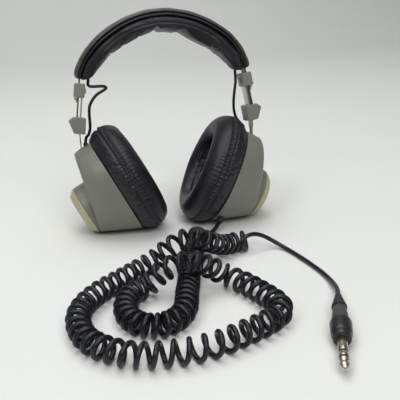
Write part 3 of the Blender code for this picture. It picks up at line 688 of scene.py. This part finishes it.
def eased(path, step, places, reach=9.0, spread_mm=2.6):
    """The path, with a running average over a few millimetres blended in round each of the places, so that
    pieces of route that meet there bend into each other."""
    half = int(3 * spread_mm / step)
    weight = np.exp(-0.5 * (np.arange(-half, half + 1) * step / spread_mm) ** 2)
    weight /= weight.sum()
    padded = np.pad(path, ((half, half), (0, 0)), mode="edge")
    average = np.stack([np.convolve(column, weight, "valid") for column in padded.T], 1)
    along = step * np.arange(len(path))[:, None]
    share = sum(np.exp(-((along - place_mm) / reach) ** 4) for place_mm in places)
    return path + np.clip(share, 0, 1) * (average - path)


def cord_path(step_mm=2.0):
    """The whole cord, from the boot to the plug, at equal steps."""
    lead_out = smooth_curve(LEAD_OUT_ROUTE, 40)[:-6]
    coil = coil_path()[80:-60]
    tail = smooth_curve(TAIL_ROUTE, 160)[5:]
    whole = np.vstack((lead_out, coil, tail))
    walked = walked_along(whole)
    step = 0.4
    fine = even_steps(whole, int(walked[-1] / step) + 1)
    meetings = (walked[len(lead_out)], walked[len(lead_out) + len(coil)])
    fine = eased(fine, walked[-1] / (len(fine) - 1), meetings)
    length = np.linalg.norm(np.diff(fine, axis=0), axis=1).sum()
    return even_steps(fine, int(length / step_mm)), length


class HEADPHONES_OT_cord(bpy.types.Operator):
    """Lays the curly cord on the floor and fits its plug"""

    bl_idname = "headphones.cord"
    bl_label = "Curly Cord and Plug"

    def execute(self, context):
        path, length = cord_path()
        diameter = sizes().cord_diameter
        curve = bpy.data.curves.new("curly_cord_jacket", "CURVE")
        curve.dimensions = "3D"
        curve.bevel_depth = diameter / 2
        curve.bevel_resolution = 3
        curve.use_fill_caps = True
        spline = curve.splines.new("POLY")
        spline.points.add(len(path) - 1)
        spline.points.foreach_set("co", np.hstack((floor_place(path), np.ones((len(path), 1)))).ravel())
        spline.use_smooth = True
        cord = bpy.data.objects.new("curly_cord_jacket", curve)
        context.scene.collection.objects.link(cord)
        curve.materials.append(finish("pvc_jacket"))
        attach(cord, "right_cup")
        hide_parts("cord_lead_out", "curly_cord", "cord_tail")
        plug = self.plug_pieces()
        gland = self.gland_piece()
        return {"FINISHED"}

    def gland_piece(self):
        """A ribbed rubber boot, its radius falling from the cup to the cord."""
        start = np.array((38.3, -21.0, 8.5))
        run = np.array((35.0, -26.1, 6.6)) - start
        reach = np.linalg.norm(run)
        share = np.linspace(0, 1, 40)
        radius = 3.1 - 1.0 * share - 0.16 * (np.sin(2 * np.pi * 4.5 * share) > 0.4)
        rings = np.stack((radius, share * (reach + 0.4) - 0.6), 1)
        profile = np.vstack(((0.0, -0.6), rings, (0.0, reach - 0.2)))
        mesh = grid_mesh("cord_boot", turned(profile, 28, floor_place(start), run), capped=False)
        boot = finished("cord_boot", mesh, finish("black_rubber"), "right_cup", 40)
        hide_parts("cord_gland")
        return boot

    def plug_pieces(self):
        """The plug's parts, each a turned profile along the same line."""
        sleeve = SLEEVE_RADIUS
        ribs = []
        for k in range(5):
            low, high = 0.2 + 3.6 * k, 0.2 + 3.6 * k + 2.3
            radius = 2.4 + 0.66 * k
            ribs += [(radius - 0.25, low), (radius, low + 0.3), (radius + 0.15, high - 0.3),
                     (radius - 0.1, high), (radius - 0.6, high + 0.15), (radius - 0.6, high + 1.05)]
        grip = [(0, 18.5), (4.3, 18.5), (4.6, 18.9), (4.7, 19.6), (5.9, 36.2), (5.8, 36.9), (0, 37.1)]
        cap = [(0, 37.2), (6.6, 37.2), (7.1, 37.7), (7.2, 38.6), (7.1, 40.4), (6.8, 49.6), (6.5, 50.6),
               (6.1, 51.2), (6.0, 51.8), (5.8, 55.3), (5.5, 55.9), (0, 56.1)]
        tip = [(0, 77.7), (sleeve, 77.7), (sleeve, 78.9), (2.9, 79.5), (2.2, 80.5), (2.1, 81.2), (2.3, 81.9),
               (2.95, 82.8), (3.1, 83.4), (3.0, 84.1), (2.5, 85.2), (1.6, 86.4), (0.7, 87.1), (0, 87.3)]

        def contact(low, high):
            return [(0, low), (sleeve - 0.1, low), (sleeve, low + 0.2), (sleeve, high - 0.2),
                    (sleeve - 0.1, high), (0, high)]

        def spacer(low, high):
            return [(0, low), (sleeve - 0.12, low), (sleeve - 0.12, high), (0, high)]

        nickel, plastic = ("bright_nickel", "nickel"), ("black_abs", "black_plastic")
        parts = (
            ("plug_boot", [(0, 0.2)] + ribs + [(0, 18.3)], "black_rubber", "rubber", "plug_strain_relief"),
            ("plug_grip", grip, "grey_abs", "grey_plastic", "plug_body"),
            ("plug_cap", cap, *plastic, "plug_collar"),
            ("plug_long_contact", contact(56.2, 70.1), *nickel, "plug_sleeve"),
            ("plug_first_spacer", spacer(70.2, 71.7), *plastic, "plug_insulator_1"),
            ("plug_ring_contact", contact(71.8, 76.1), *nickel, "plug_ring"),
            ("plug_second_spacer", spacer(76.2, 77.6), *plastic, "plug_insulator_2"),
            ("plug_tip_contact", tip, *nickel, "plug_tip"),
        )
        made = []
        for name, profile, material, slot, node in parts:
            points = turned(profile, 48, floor_place(PLUG_START), PLUG_ALONG)
            mesh = grid_mesh(name, points, capped=False)
            obj = finished(name, mesh, finish(material), "right_cup", 35)
            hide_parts(node)
            made.append(obj)
        return made


# ---------------------------------------------------------------- cups

# Stations of the shell from rim to back: half width, then (b, a) at its bottom and at its top
SHELL_OUTSIDE = (
    (39.5, 0.0, 0.0, 88.5, 0.0),
    (36.6, 7.9, 15.5, 88.1, 7.8),
    (32.4, 15.3, 29.6, 87.6, 13.9),
    (31.2, 16.2, 31.6, 87.2, 15.2),
    (29.8, 17.4, 32.7, 86.4, 16.2),
    (27.4, 19.8, 33.1, 84.6, 16.9),
)
SHELL_INSIDE = (
    (37.4, 1.8, -1.0, 86.3, -1.0),
    (34.4, 10.3, 15.5, 85.9, 6.6),
    (30.2, 16.8, 28.5, 85.4, 12.0),
    (25.2, 21.7, 30.9, 81.5, 14.6),
)


def cup_skin(side, stations, count=112, rows=4):
    """Flat-topped superellipse rings, from the rim to the back. Each ring lies in a plane that tilts from the
    rim's to the back's, and the rings are worked out between stations in straight steps."""
    table = np.array(stations)
    at = np.linspace(0, len(table) - 1, rows * (len(table) - 1) + 1)
    half_w, b_low, a_low, b_high, a_high = (
        np.interp(at, np.arange(len(table)), column)[:, None] for column in table.T)
    turn = np.linspace(0, 2 * np.pi, count, endpoint=False)[None, :]
    w = half_w * power(np.sin(turn), 2 / CORNER)
    share = (np.minimum(power(np.cos(turn), 2 / CORNER), FACET) + 1) / (1 + FACET)
    return cup_place(side, a_low + share * (a_high - a_low), w, b_low + share * (b_high - b_low))


def cup_turned(side, profile, steps, b):
    """A profile of (radius, a) turned about the cup's outward axis at height b, as world points."""
    start = cup_place(side, 0.0, 0.0, b)
    return turned(profile, steps, start, cup_place(side, 1.0, 0.0, b) - start)


def cup_box(name, side, a, w, b):
    """A box between two a, two w and two b."""
    corners = [(a[i], w[j], b[k]) for k in (0, 1) for i, j in ((0, 0), (1, 0), (1, 1), (0, 1))]
    points = np.array([cup_place(side, *corner) for corner in corners]).reshape(2, 4, 3)
    return grid_mesh(name, points)


class HEADPHONES_OT_cups(bpy.types.Operator):
    """Moulds both cups with their bosses, slots and pale caps"""

    bl_idname = "headphones.cups"
    bl_label = "Cups and Caps"

    def execute(self, context):
        for prefix, side in SIDES:
            self.shell(prefix, side)
            self.cap(prefix, side)
        return {"FINISHED"}

    def shell(self, prefix, side):
        body = prefix + "_cup"
        mesh = grid_mesh("shell", cup_skin(side, SHELL_OUTSIDE))
        shell = finished(prefix + "_cup_shell", mesh, finish("olive_abs"), None)
        boss = [(0, 20), (BOSS_RADIUS + 0.25, 20), (BOSS_RADIUS, BOSS_FACE - 0.5),
                (BOSS_RADIUS - 0.4, BOSS_FACE), (0, BOSS_FACE)]
        bore, floor = BOSS_RADIUS - WALL, BOSS_FACE - WALL
        well = [(0, 15), (bore, 15), (bore, floor), (0, floor)]
        cut(shell, (
            ("UNION", grid_mesh("boss", cup_turned(side, boss, 96, BOSS_B), capped=False)),
            ("DIFFERENCE", grid_mesh("hollow", cup_skin(side, SHELL_INSIDE, 72, 2))),
            ("DIFFERENCE", grid_mesh("well", cup_turned(side, well, 60, BOSS_B), capped=False)),
            ("DIFFERENCE", cup_box("slot", side, (6.2, 11.8), (-4.6, 4.6), (84.0, 90.0))),
        ))
        smooth(shell.data, 24)
        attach(shell, body)
        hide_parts(prefix + "_shell")

    def cap(self, prefix, side):
        """A low cone with two fine steps at its edge and a shallow dish in its face."""
        base = BOSS_FACE + 0.15
        profile = [
            (0, base), (22.0, base), (22.3, base + 0.3), (22.25, base + 0.6), (21.3, base + 2.1),
            (21.0, base + 2.2), (20.8, base + 2.5), (19.9, base + 3.9), (19.5, base + 4.0), (19.3, base + 4.3),
            (17.9, base + 5.7), (17.5, base + 6.1), (16.9, base + 6.25), (14.0, base + 6.05),
            (8.0, base + 5.95), (0, base + 5.95),
        ]
        mesh = grid_mesh("cap", cup_turned(side, profile, 128, BOSS_B), capped=False)
        cap = finished(prefix + "_cup_cap", mesh, finish("cream_abs"), prefix + "_cup", 18)
        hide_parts(prefix + "_end_cap")


# ---------------------------------------------------------------- cushions

# The cushion's closed section: a, then half height and half width of the ring there
CUSHION_SECTION = (
    (-0.4, 34.0, 26.0), (-0.4, 43.0, 37.4), (-1.6, 45.8, 40.0), (-5.0, 48.4, 42.2), (-9.5, 50.0, 43.8),
    (-14.0, 50.4, 44.2), (-18.5, 50.2, 43.9), (-23.0, 48.3, 41.9), (-26.8, 45.0, 38.3), (-29.2, 40.6, 33.8),
    (-29.9, 36.6, 29.8), (-29.0, 32.8, 25.8), (-26.0, 29.6, 22.2), (-21.0, 27.8, 20.2), (-14.0, 27.3, 19.6),
    (-7.0, 27.6, 19.9), (-2.0, 28.6, 20.8),
)


def ring_place(side, a, half_b, half_w, turn):
    """Points of an oval ring, a superellipse."""
    w = half_w * power(np.sin(turn), 2 / RING_POWER)
    b = CUSHION_B + half_b * power(np.cos(turn), 2 / RING_POWER)
    return cup_place(side, a, w, b)


def cushion_points(side, seed):
    """The vinyl ring. A coarse ring is blown up between its sewn seam and its back, then every point moves
    along its normal: by gathers that are deepest at the seam, by the seam's raised lip with a groove on
    each side, by fine loose creases on the shell side and by slow swells."""
    section = smooth_curve(CUSHION_SECTION, SECTION_POINTS, closed=True)
    centre = section.mean(axis=0)
    seam = np.argmax(section[:, 1])
    held = (np.arange(SECTION_POINTS) == seam) | (section[:, 0] > -1.5)
    smaller = section + np.where(held, 0.0, -0.045)[:, None] * (section - centre)
    turn = np.linspace(0, 2 * np.pi, 150, endpoint=False)[:, None]
    coarse = ring_place(side, smaller[None, :, 0], smaller[None, :, 1], smaller[None, :, 2], turn)
    blown = inflated(coarse, held[None, :], True, 0.012, 3.5)
    grid = refined(refined(blown, FINER, 0, True), FINER, 1, True)
    fine = refined(section, FINER, 0, True)
    legs = np.linalg.norm(np.diff(fine[:, :2], axis=0, append=fine[:1, :2]), axis=1)
    walked = np.cumsum(legs) - legs
    at_seam = FINER * seam
    away = (walked - walked[at_seam] + walked[-1] / 2) % walked[-1] - walked[-1] / 2
    if fine[(at_seam + 12) % len(fine), 0] > fine[at_seam, 0]:
        away = -away
    away = away[None, :]
    u = np.linspace(0, 1, len(grid), endpoint=False)[:, None]
    size = sizes()
    uneven = 0.8 + 0.5 * ripple(u, 0, seed, 6, 2, 9)
    phase = size.pleats * u + 0.4 * ripple(u, 0, seed + 1, 6, 3, 14)
    fade = np.where(away > 0, np.exp(-np.abs(away) / 3.6), 0.55 * np.exp(-np.abs(away) / 5.0))
    pleat = size.pleat_depth / MM * uneven * np.cos(2 * np.pi * phase) * fade
    lip = 0.9 * np.exp(-(away / 0.75) ** 2) - 1.0 * np.exp(-((np.abs(away) - 2.1) / 0.9) ** 2)
    loose = 0.5 * ripple(u, away / 1.6, seed + 2, 16, 20, 70) * np.exp(-((away + 8) / 5.0) ** 2)
    soft = 0.7 * ripple(u, away / 12, seed + 3, 8, 2, 9) * np.exp(-((away - 14) / 14.0) ** 2)
    crest = -0.7 * np.exp(-((away - 37.0) / 0.8) ** 2)
    return grid + MM * grid_normals(grid, True) * (pleat + lip + loose + soft + crest)[..., None]


def capsules(name, starts, ends, radius, bulge=1.25):
    """Short rounded threads between pairs of points: 6-sided, fatter in the middle."""
    run = ends - starts
    along = unit(run)
    hint = unit(np.cross(along, ACROSS))
    other = np.cross(along, hint)
    turn = np.linspace(0, 2 * np.pi, 6, endpoint=False)[None, None, :, None]
    share = np.array((0.0, 0.12, 0.5, 0.88, 1.0))[None, :, None, None]
    width = radius * np.array((0.35, 0.9, bulge, 0.9, 0.35))[None, :, None, None]
    points = (starts[:, None, None] + run[:, None, None] * share
              + width * (np.cos(turn) * hint[:, None, None] + np.sin(turn) * other[:, None, None]))
    count = len(starts)
    one = grid_faces(5, 6, False)
    faces = (one[None] + 30 * np.arange(count)[:, None, None]).reshape(-1, 4).tolist()
    caps = np.arange(6)[None] + 30 * np.arange(count)[:, None]
    faces += caps[:, ::-1].tolist() + (caps + 24).tolist()
    return mesh_of(name, points, faces)


class HEADPHONES_OT_cushions(bpy.types.Operator):
    """Pads both cups with gathered vinyl cushions, their stitches and the foam behind"""

    bl_idname = "headphones.cushions"
    bl_label = "Ear Cushions"

    def execute(self, context):
        for prefix, side in SIDES:
            body = prefix + "_cup"
            points = cushion_points(side, 11 if side > 0 else 23)
            mesh = grid_mesh("cushion", points, ring=True)
            cushion = finished(prefix + "_ear_cushion", mesh, finish("black_vinyl"), body, 180)
            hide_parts(prefix + "_cushion")
            self.stitches(prefix, side, body)
            self.foam(prefix, side, body)
        return {"FINISHED"}

    def stitches(self, prefix, side, body):
        """Thread across the seam groove, three stitches to every two gathers."""
        count = int(sizes().pleats * 1.5)
        turn = 2 * np.pi * np.arange(count) / count
        starts = ring_place(side, SEAM_A + 0.9, 50.7, 44.5, turn - 0.009)
        ends = ring_place(side, SEAM_A - 3.1, 50.1, 43.8, turn + 0.009)
        mesh = capsules("stitches", starts, ends, 0.42 * MM)
        finished(prefix + "_cushion_stitches", mesh, finish("thread"), body, 60)

    def foam(self, prefix, side, body):
        """The foam disc at the bottom of the bowl, gently domed."""
        turn = np.linspace(0, 2 * np.pi, 96, endpoint=False)[None, :]
        share = np.array((0.02, 0.25, 0.5, 0.75, 0.92, 0.98, 1.0, 1.0))[:, None]
        a = np.array((-2.2, -2.15, -2.0, -1.8, -1.5, -1.2, -0.6, 1.8))[:, None]
        points = ring_place(side, a, 26.6 * share, 18.8 * share, turn)
        mesh = grid_mesh("foam", points)
        pad = finished(prefix + "_bowl_foam", mesh, finish("foam"), body, 50)
        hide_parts(prefix + "_grille_pad")


# ---------------------------------------------------------------- headband

def arch_points(count):
    """x and h of the band's line, from the cover's right end to its left one: a cubic curve each side."""
    start = np.array(arm_xh(STRIP_OFFSET, COVER_T))
    along = np.array((-math.sin(ARM_ANGLE), math.cos(ARM_ANGLE)))
    handles = np.array((start, start + SIDE_PULL * along, (TOP_PULL, APEX_H), (0.0, APEX_H)))
    u = np.linspace(0, 1, 200)[:, None]
    weights = np.hstack(((1 - u) ** 3, 3 * u * (1 - u) ** 2, 3 * u ** 2 * (1 - u), u ** 3))
    right = weights @ handles
    return even_steps(np.vstack((right, right[-2::-1] * (-1, 1))), count)


def cover_width(share):
    """How far the cover has opened out: 0 at its necks, 1 after a fifth of its length."""
    rise = np.clip(np.minimum(share, 1 - share) / 0.2, 0, 1)
    return rise ** 2 * (3 - 2 * rise)


def drawn_in(share):
    """Thickness near the ends, where the cover is gathered: a quarter circle over the last few percent."""
    edge = np.clip(np.minimum(share, 1 - share) / 0.035, 0, 1)
    return 0.35 + 0.65 * np.sqrt(1 - (1 - edge) ** 2)


def half_width(share):
    return NECK_HALF + 2.5 * drawn_in(share) + (COVER_HALF - NECK_HALF - 2.5) * cover_width(share)


def band_shape(count, level_of, across_of, turn):
    """World points of a skin along the arch. level_of and across_of give its height over the band's line and
    its place across, from the share along and the turn round the section."""
    line = arch_points(count)
    share = np.linspace(0, 1, count)[:, None]
    ahead = np.gradient(line, axis=0)
    normal = unit(np.stack((ahead[:, 1], -ahead[:, 0]), 1))
    level = level_of(share, turn)
    x = line[:, :1] + normal[:, :1] * level
    h = line[:, 1:] + normal[:, 1:] * level
    return place(x, across_of(share, turn), h)


def neck_folds(share, turn, seed, depth):
    """Lengthwise gathers where the vinyl is drawn into its necks."""
    near = np.exp(-np.minimum(share, 1 - share) / 0.07)
    return depth * near * ripple(turn / (2 * np.pi), 6 * share, seed, 8, 5, 13)


class HEADPHONES_OT_headband(bpy.types.Operator):
    """Covers the sprung band with a stitched vinyl crown, a pad and edge piping"""

    bl_idname = "headphones.headband"
    bl_label = "Headband"

    def execute(self, context):
        self.crown()
        self.pad()
        self.piping()
        return {"FINISHED"}

    def crown(self):
        """The upper skin: a shallow dome across, a little uneven along its length."""
        turn = np.linspace(0, 2 * np.pi, 96, endpoint=False)[None, :]

        def level(share, turn):
            depth = CROWN * (0.8 + 0.2 * cover_width(share)) * drawn_in(share)
            middle = 0.5 * (depth + BAND_CLEAR)
            half = 0.5 * (depth - BAND_CLEAR)
            folds = neck_folds(share, turn, 5, 1.0) * (np.sin(turn) > 0)
            soft = 0.35 * ripple(share, 2 * np.cos(turn), 41, 8, 3, 12) * (np.sin(turn) > 0)
            return middle + (half + 0.9 * (np.sin(turn) > 0)) * power(np.sin(turn), 0.95) + folds + soft

        def across(share, turn):
            return half_width(share) * power(np.cos(turn), 0.55)

        mesh = grid_mesh("crown", band_shape(220, level, across, turn))
        crown = finished("headband_crown", mesh, finish("crown_vinyl"), "headband", 180)
        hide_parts("cover_top")

    def pad(self):
        """The lower pad. A soft box section is blown up under its sewn top and ends, and its cloth is cut
        larger than the space, so it buckles. A crease crosses its middle, and its ends are gathered."""
        turn = np.linspace(0, 2 * np.pi, 36, endpoint=False)[None, :]

        def level(share, turn):
            depth = PAD_DEPTH * (0.78 + 0.22 * cover_width(share)) * drawn_in(share)
            below = np.clip(-np.sin(turn), 0, 1)
            crease = (2.4 * np.exp(-((share - 0.53) / 0.014) ** 2)
                      + 1.6 * np.exp(-((share - 0.40) / 0.05) ** 2))
            half = 0.5 * (depth - BAND_CLEAR)
            return -0.5 * (depth + BAND_CLEAR) + half * power(np.sin(turn), 0.7) + crease * below

        def across(share, turn):
            return (half_width(share) - 0.6) * power(np.cos(turn), 0.5)

        coarse = band_shape(120, level, across, turn)
        share = np.linspace(0, 1, 120)[:, None]
        held = (np.sin(turn) > 0.55) | (np.minimum(share, 1 - share) < 0.012)
        blown = inflated(coarse, held, False, 0.014, 3.0)
        grid = refined(refined(blown, FINER, 0, False), FINER, 1, True)
        share = np.linspace(0, 1, grid.shape[0])[:, None]
        turn = np.linspace(0, 2 * np.pi, grid.shape[1], endpoint=False)[None, :]
        free = np.clip(0.5 - np.sin(turn), 0, 1)
        gathers = neck_folds(share, turn, 7, 2.0) + 0.9 * neck_folds(share, 3 * turn, 9, 1.0)
        wrinkles = 0.3 * ripple(share, 1.5 * np.cos(turn), 19, 10, 4, 22)
        seam = -0.8 * np.exp(-((np.sin(turn) + 0.1) / 0.07) ** 2) * (np.cos(turn) < 0)
        grid = grid + MM * grid_normals(grid, False) * ((gathers + wrinkles) * free + seam)[..., None]
        pad = finished("headband_cushion", grid_mesh("pad", grid), finish("black_vinyl"), "headband",
                       180)
        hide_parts("headband_pad")

    def piping(self):
        """A welt along the front and back edges, at the band's own level."""
        line = arch_points(240)
        share = np.linspace(0, 1, len(line))
        half = half_width(share) - 0.2
        wander = 0.35 * ripple(share, 0.0, 31, 6, 3, 9)
        tubes = []
        for front in (-1, 1):
            path = place(line[:, 0], front * half, line[:, 1] + wander)
            tubes.append(tube_mesh("welt", path, sizes().piping / 2, BACKWARD + 0.01 * ACROSS))
        finished("headband_piping", joined("piping", tubes), finish("black_vinyl"), "headband",
                 60)


# ---------------------------------------------------------------- leads

UPPER_LEAD = {
    1: ((66.1, 0, 136.3), (65.8, 1, 132.6), (66.2, 2, 129.3)),
    -1: ((-66.1, 0, 136.3), (-66.0, 0, 133.6), (-66.4, 0, 131.2)),
}
LOWER_LEAD = {
    1: ((66.3, 2.1, 128.7), (66.4, 3, 124), (65.9, 4.2, 119), (65.2, 6, 113), (65.0, 9, 105), (65.8, 12, 97),
        (68.0, 14, 90.5), (70.6, 13.9, 86.8), (72.8, 13.3, 84), (74.2, 12.7, 81.8), (74.5, 12.5, 80.3)),
    -1: ((-66.5, 0, 130.6), (-66.2, 0, 129.0), (-63.8, 0, 127.9), (-57.9, 0, 127.7), (-53.0, 0, 127.4),
         (-51.2, 0, 125.9), (-53.6, 0, 124.0), (-59.0, 0, 121.2), (-63.6, 0, 116.8), (-66.9, 0, 111.0),
         (-67.8, 0, 104.5), (-67.9, 0, 98), (-68.3, 0, 92), (-70.0, 0, 87.0), (-72.6, 0, 84.0),
         (-74.3, 0, 81.7)),
}


class HEADPHONES_OT_leads(bpy.types.Operator):
    """Runs the short leads from the headband down to the cups"""

    bl_idname = "headphones.leads"
    bl_label = "Short Leads"

    def execute(self, context):
        for prefix, side in SIDES:
            lower = place(*np.array(LOWER_LEAD[side], float).T)
            upper = np.vstack((place(*np.array(UPPER_LEAD[side], float).T)[:-1], lower[:2]))
            into_cup = np.mean(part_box(prefix + "_lead_grommet"), axis=0)
            self.lead(prefix + "_short_lead_upper", upper, prefix + "_lead_upper",
                      "headband", prefix + "_stirrup", 24)
            self.lead(prefix + "_short_lead_lower", np.vstack((lower[:-1], into_cup)), prefix + "_lead_lower",
                      prefix + "_stirrup", prefix + "_cup", 120)
        return {"FINISHED"}

    def lead(self, name, route, node, top, bottom, count):
        path = smooth_curve(route, count)
        mesh = tube_mesh(name, path, sizes().lead_diameter / 2, BACKWARD)
        lead = finished(name, mesh, finish("pvc_jacket"), None, 60)
        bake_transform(lead)
        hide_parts(node)


# ---------------------------------------------------------------- arms and inner parts

NODE_FINISHES = {
    "olive_abs": ("upper_block", "lower_block"),
    "plated_strip": ("stirrup_strip", "upper_rivet", "lower_rivet", "click_spring", "pivot_pin",
                     "baffle_screw"),
    "blued_spring": ("spring_band",),
    "black_abs": ("baffle",),
    "grey_abs": ("driver_frame",),
    "ferrite": ("driver_magnet",),
    "mylar": ("diaphragm",),
    "black_rubber": ("lead_grommet",),
}


class HEADPHONES_OT_hardware(bpy.types.Operator):
    """Finishes the blocks, strips, rivets and the parts inside the cups"""

    bl_idname = "headphones.hardware"
    bl_label = "Arms and Inner Parts"

    def execute(self, context):
        for node in frame["nodes"]:
            fits = [(len(key), name) for name, keys in NODE_FINISHES.items()
                    for key in keys if key in node]
            if fits:
                dress(node, max(fits)[1])
        return {"FINISHED"}


# ---------------------------------------------------------------- stage

# Each disc light's name, place, aim, diameter in metres and power in watts
LIGHTS = (
    ("top_light", (-0.15, 0.05, 1.35), (0.0, 0.0, 0.0), 1.5, 12.5),
    ("key_light", (-0.75, -0.75, 0.95), (0.0, -0.05, 0.05), 0.45, 3.2),
    ("front_light", (0.15, -1.05, 1.0), (0.0, 0.0, 0.08), 0.7, 6.5),
    ("back_wall_light", (0.1, 0.7, 1.7), (0.0, 1.8, 0.6), 1.2, 6.5),
)


class HEADPHONES_OT_stage(bpy.types.Operator):
    """Sets a pale floor and soft studio light"""

    bl_idname = "headphones.stage"
    bl_label = "Stage"

    def execute(self, context):
        """The sweep runs flat, turns up along a quarter circle and ends in a wall."""
        bend = np.linspace(0, np.pi / 2, 24)
        y = np.concatenate(([-3.0, -1.5, 0.0], 1.0 + 0.9 * np.sin(bend), [1.9]))
        z = np.concatenate(([0.0, 0.0, 0.0], 0.9 - 0.9 * np.cos(bend), [3.5]))
        x = np.linspace(-3.5, 3.5, 9)
        points = np.stack(np.broadcast_arrays(x[None, :], y[:, None], z[:, None]), 2)
        mesh = bpy.data.meshes.new("studio_floor")
        mesh.from_pydata(points.reshape(-1, 3).tolist(), [], grid_faces(len(y), 9, False, False).tolist())
        mesh.shade_smooth()
        mesh.materials.append(finish("floor"))
        floor = bpy.data.objects.new("studio_floor", mesh)
        context.scene.collection.objects.link(floor)
        for lamp in LIGHTS:
            self.light(*lamp)
        world = bpy.data.worlds.new("studio_air")
        world.use_nodes = True
        world.node_tree.nodes["Background"].inputs["Color"].default_value = linear("E4E8EA")
        world.node_tree.nodes["Background"].inputs["Strength"].default_value = 0.22
        context.scene.world = world
        context.scene.view_settings.view_transform = "Standard"
        return {"FINISHED"}

    def light(self, name, at, aim, size, watts):
        data = bpy.data.lights.new(name, "AREA")
        data.shape = "DISK"
        data.size = size
        data.energy = watts
        lamp = bpy.data.objects.new(name, data)
        bpy.context.scene.collection.objects.link(lamp)
        back = unit(np.array(at) - np.array(aim))
        right = unit(np.cross((0.0, 1.0, 0.05), back))
        matrix = np.eye(4)
        matrix[:3, 0], matrix[:3, 1], matrix[:3, 2] = right, np.cross(back, right), back
        matrix[:3, 3] = at
        lamp.matrix_world = matrix.T.tolist()


# ---------------------------------------------------------------- panel and main

STEPS = (
    HEADPHONES_OT_camera,
    HEADPHONES_OT_cord,
    HEADPHONES_OT_cups,
    HEADPHONES_OT_cushions,
    HEADPHONES_OT_headband,
    HEADPHONES_OT_leads,
    HEADPHONES_OT_hardware,
    HEADPHONES_OT_stage,
)


class HEADPHONES_PT_panel(bpy.types.Panel):
    """Lists the headphones' steps, sizes and colours."""

    bl_label = "Headphones"
    bl_space_type = "VIEW_3D"
    bl_region_type = "UI"
    bl_category = "Headphones"

    def draw(self, context):
        for step in STEPS:
            self.layout.operator(step.bl_idname)
        for group in (sizes(), colours()):
            for name in group.bl_rna.properties.keys():
                if name not in ("rna_type", "name"):
                    self.layout.prop(group, name)


CLASSES = (HEADPHONES_PG_colours, HEADPHONES_PG_sizes, *STEPS, HEADPHONES_PT_panel)


def register():
    for cls in CLASSES:
        bpy.utils.register_class(cls)
    bpy.types.Scene.headphone_colours = bpy.props.PointerProperty(type=HEADPHONES_PG_colours)
    bpy.types.Scene.headphone_sizes = bpy.props.PointerProperty(type=HEADPHONES_PG_sizes)


def unregister():
    del bpy.types.Scene.headphone_sizes
    del bpy.types.Scene.headphone_colours
    for cls in reversed(CLASSES):
        bpy.utils.unregister_class(cls)


def main():
    register()
    bpy.ops.headphones.camera()
    bpy.ops.headphones.cord()
    bpy.ops.headphones.cups()
    bpy.ops.headphones.cushions()
    bpy.ops.headphones.headband()
    bpy.ops.headphones.leads()
    bpy.ops.headphones.hardware()
    bpy.ops.headphones.stage()


if __name__ == "__main__":
    main()
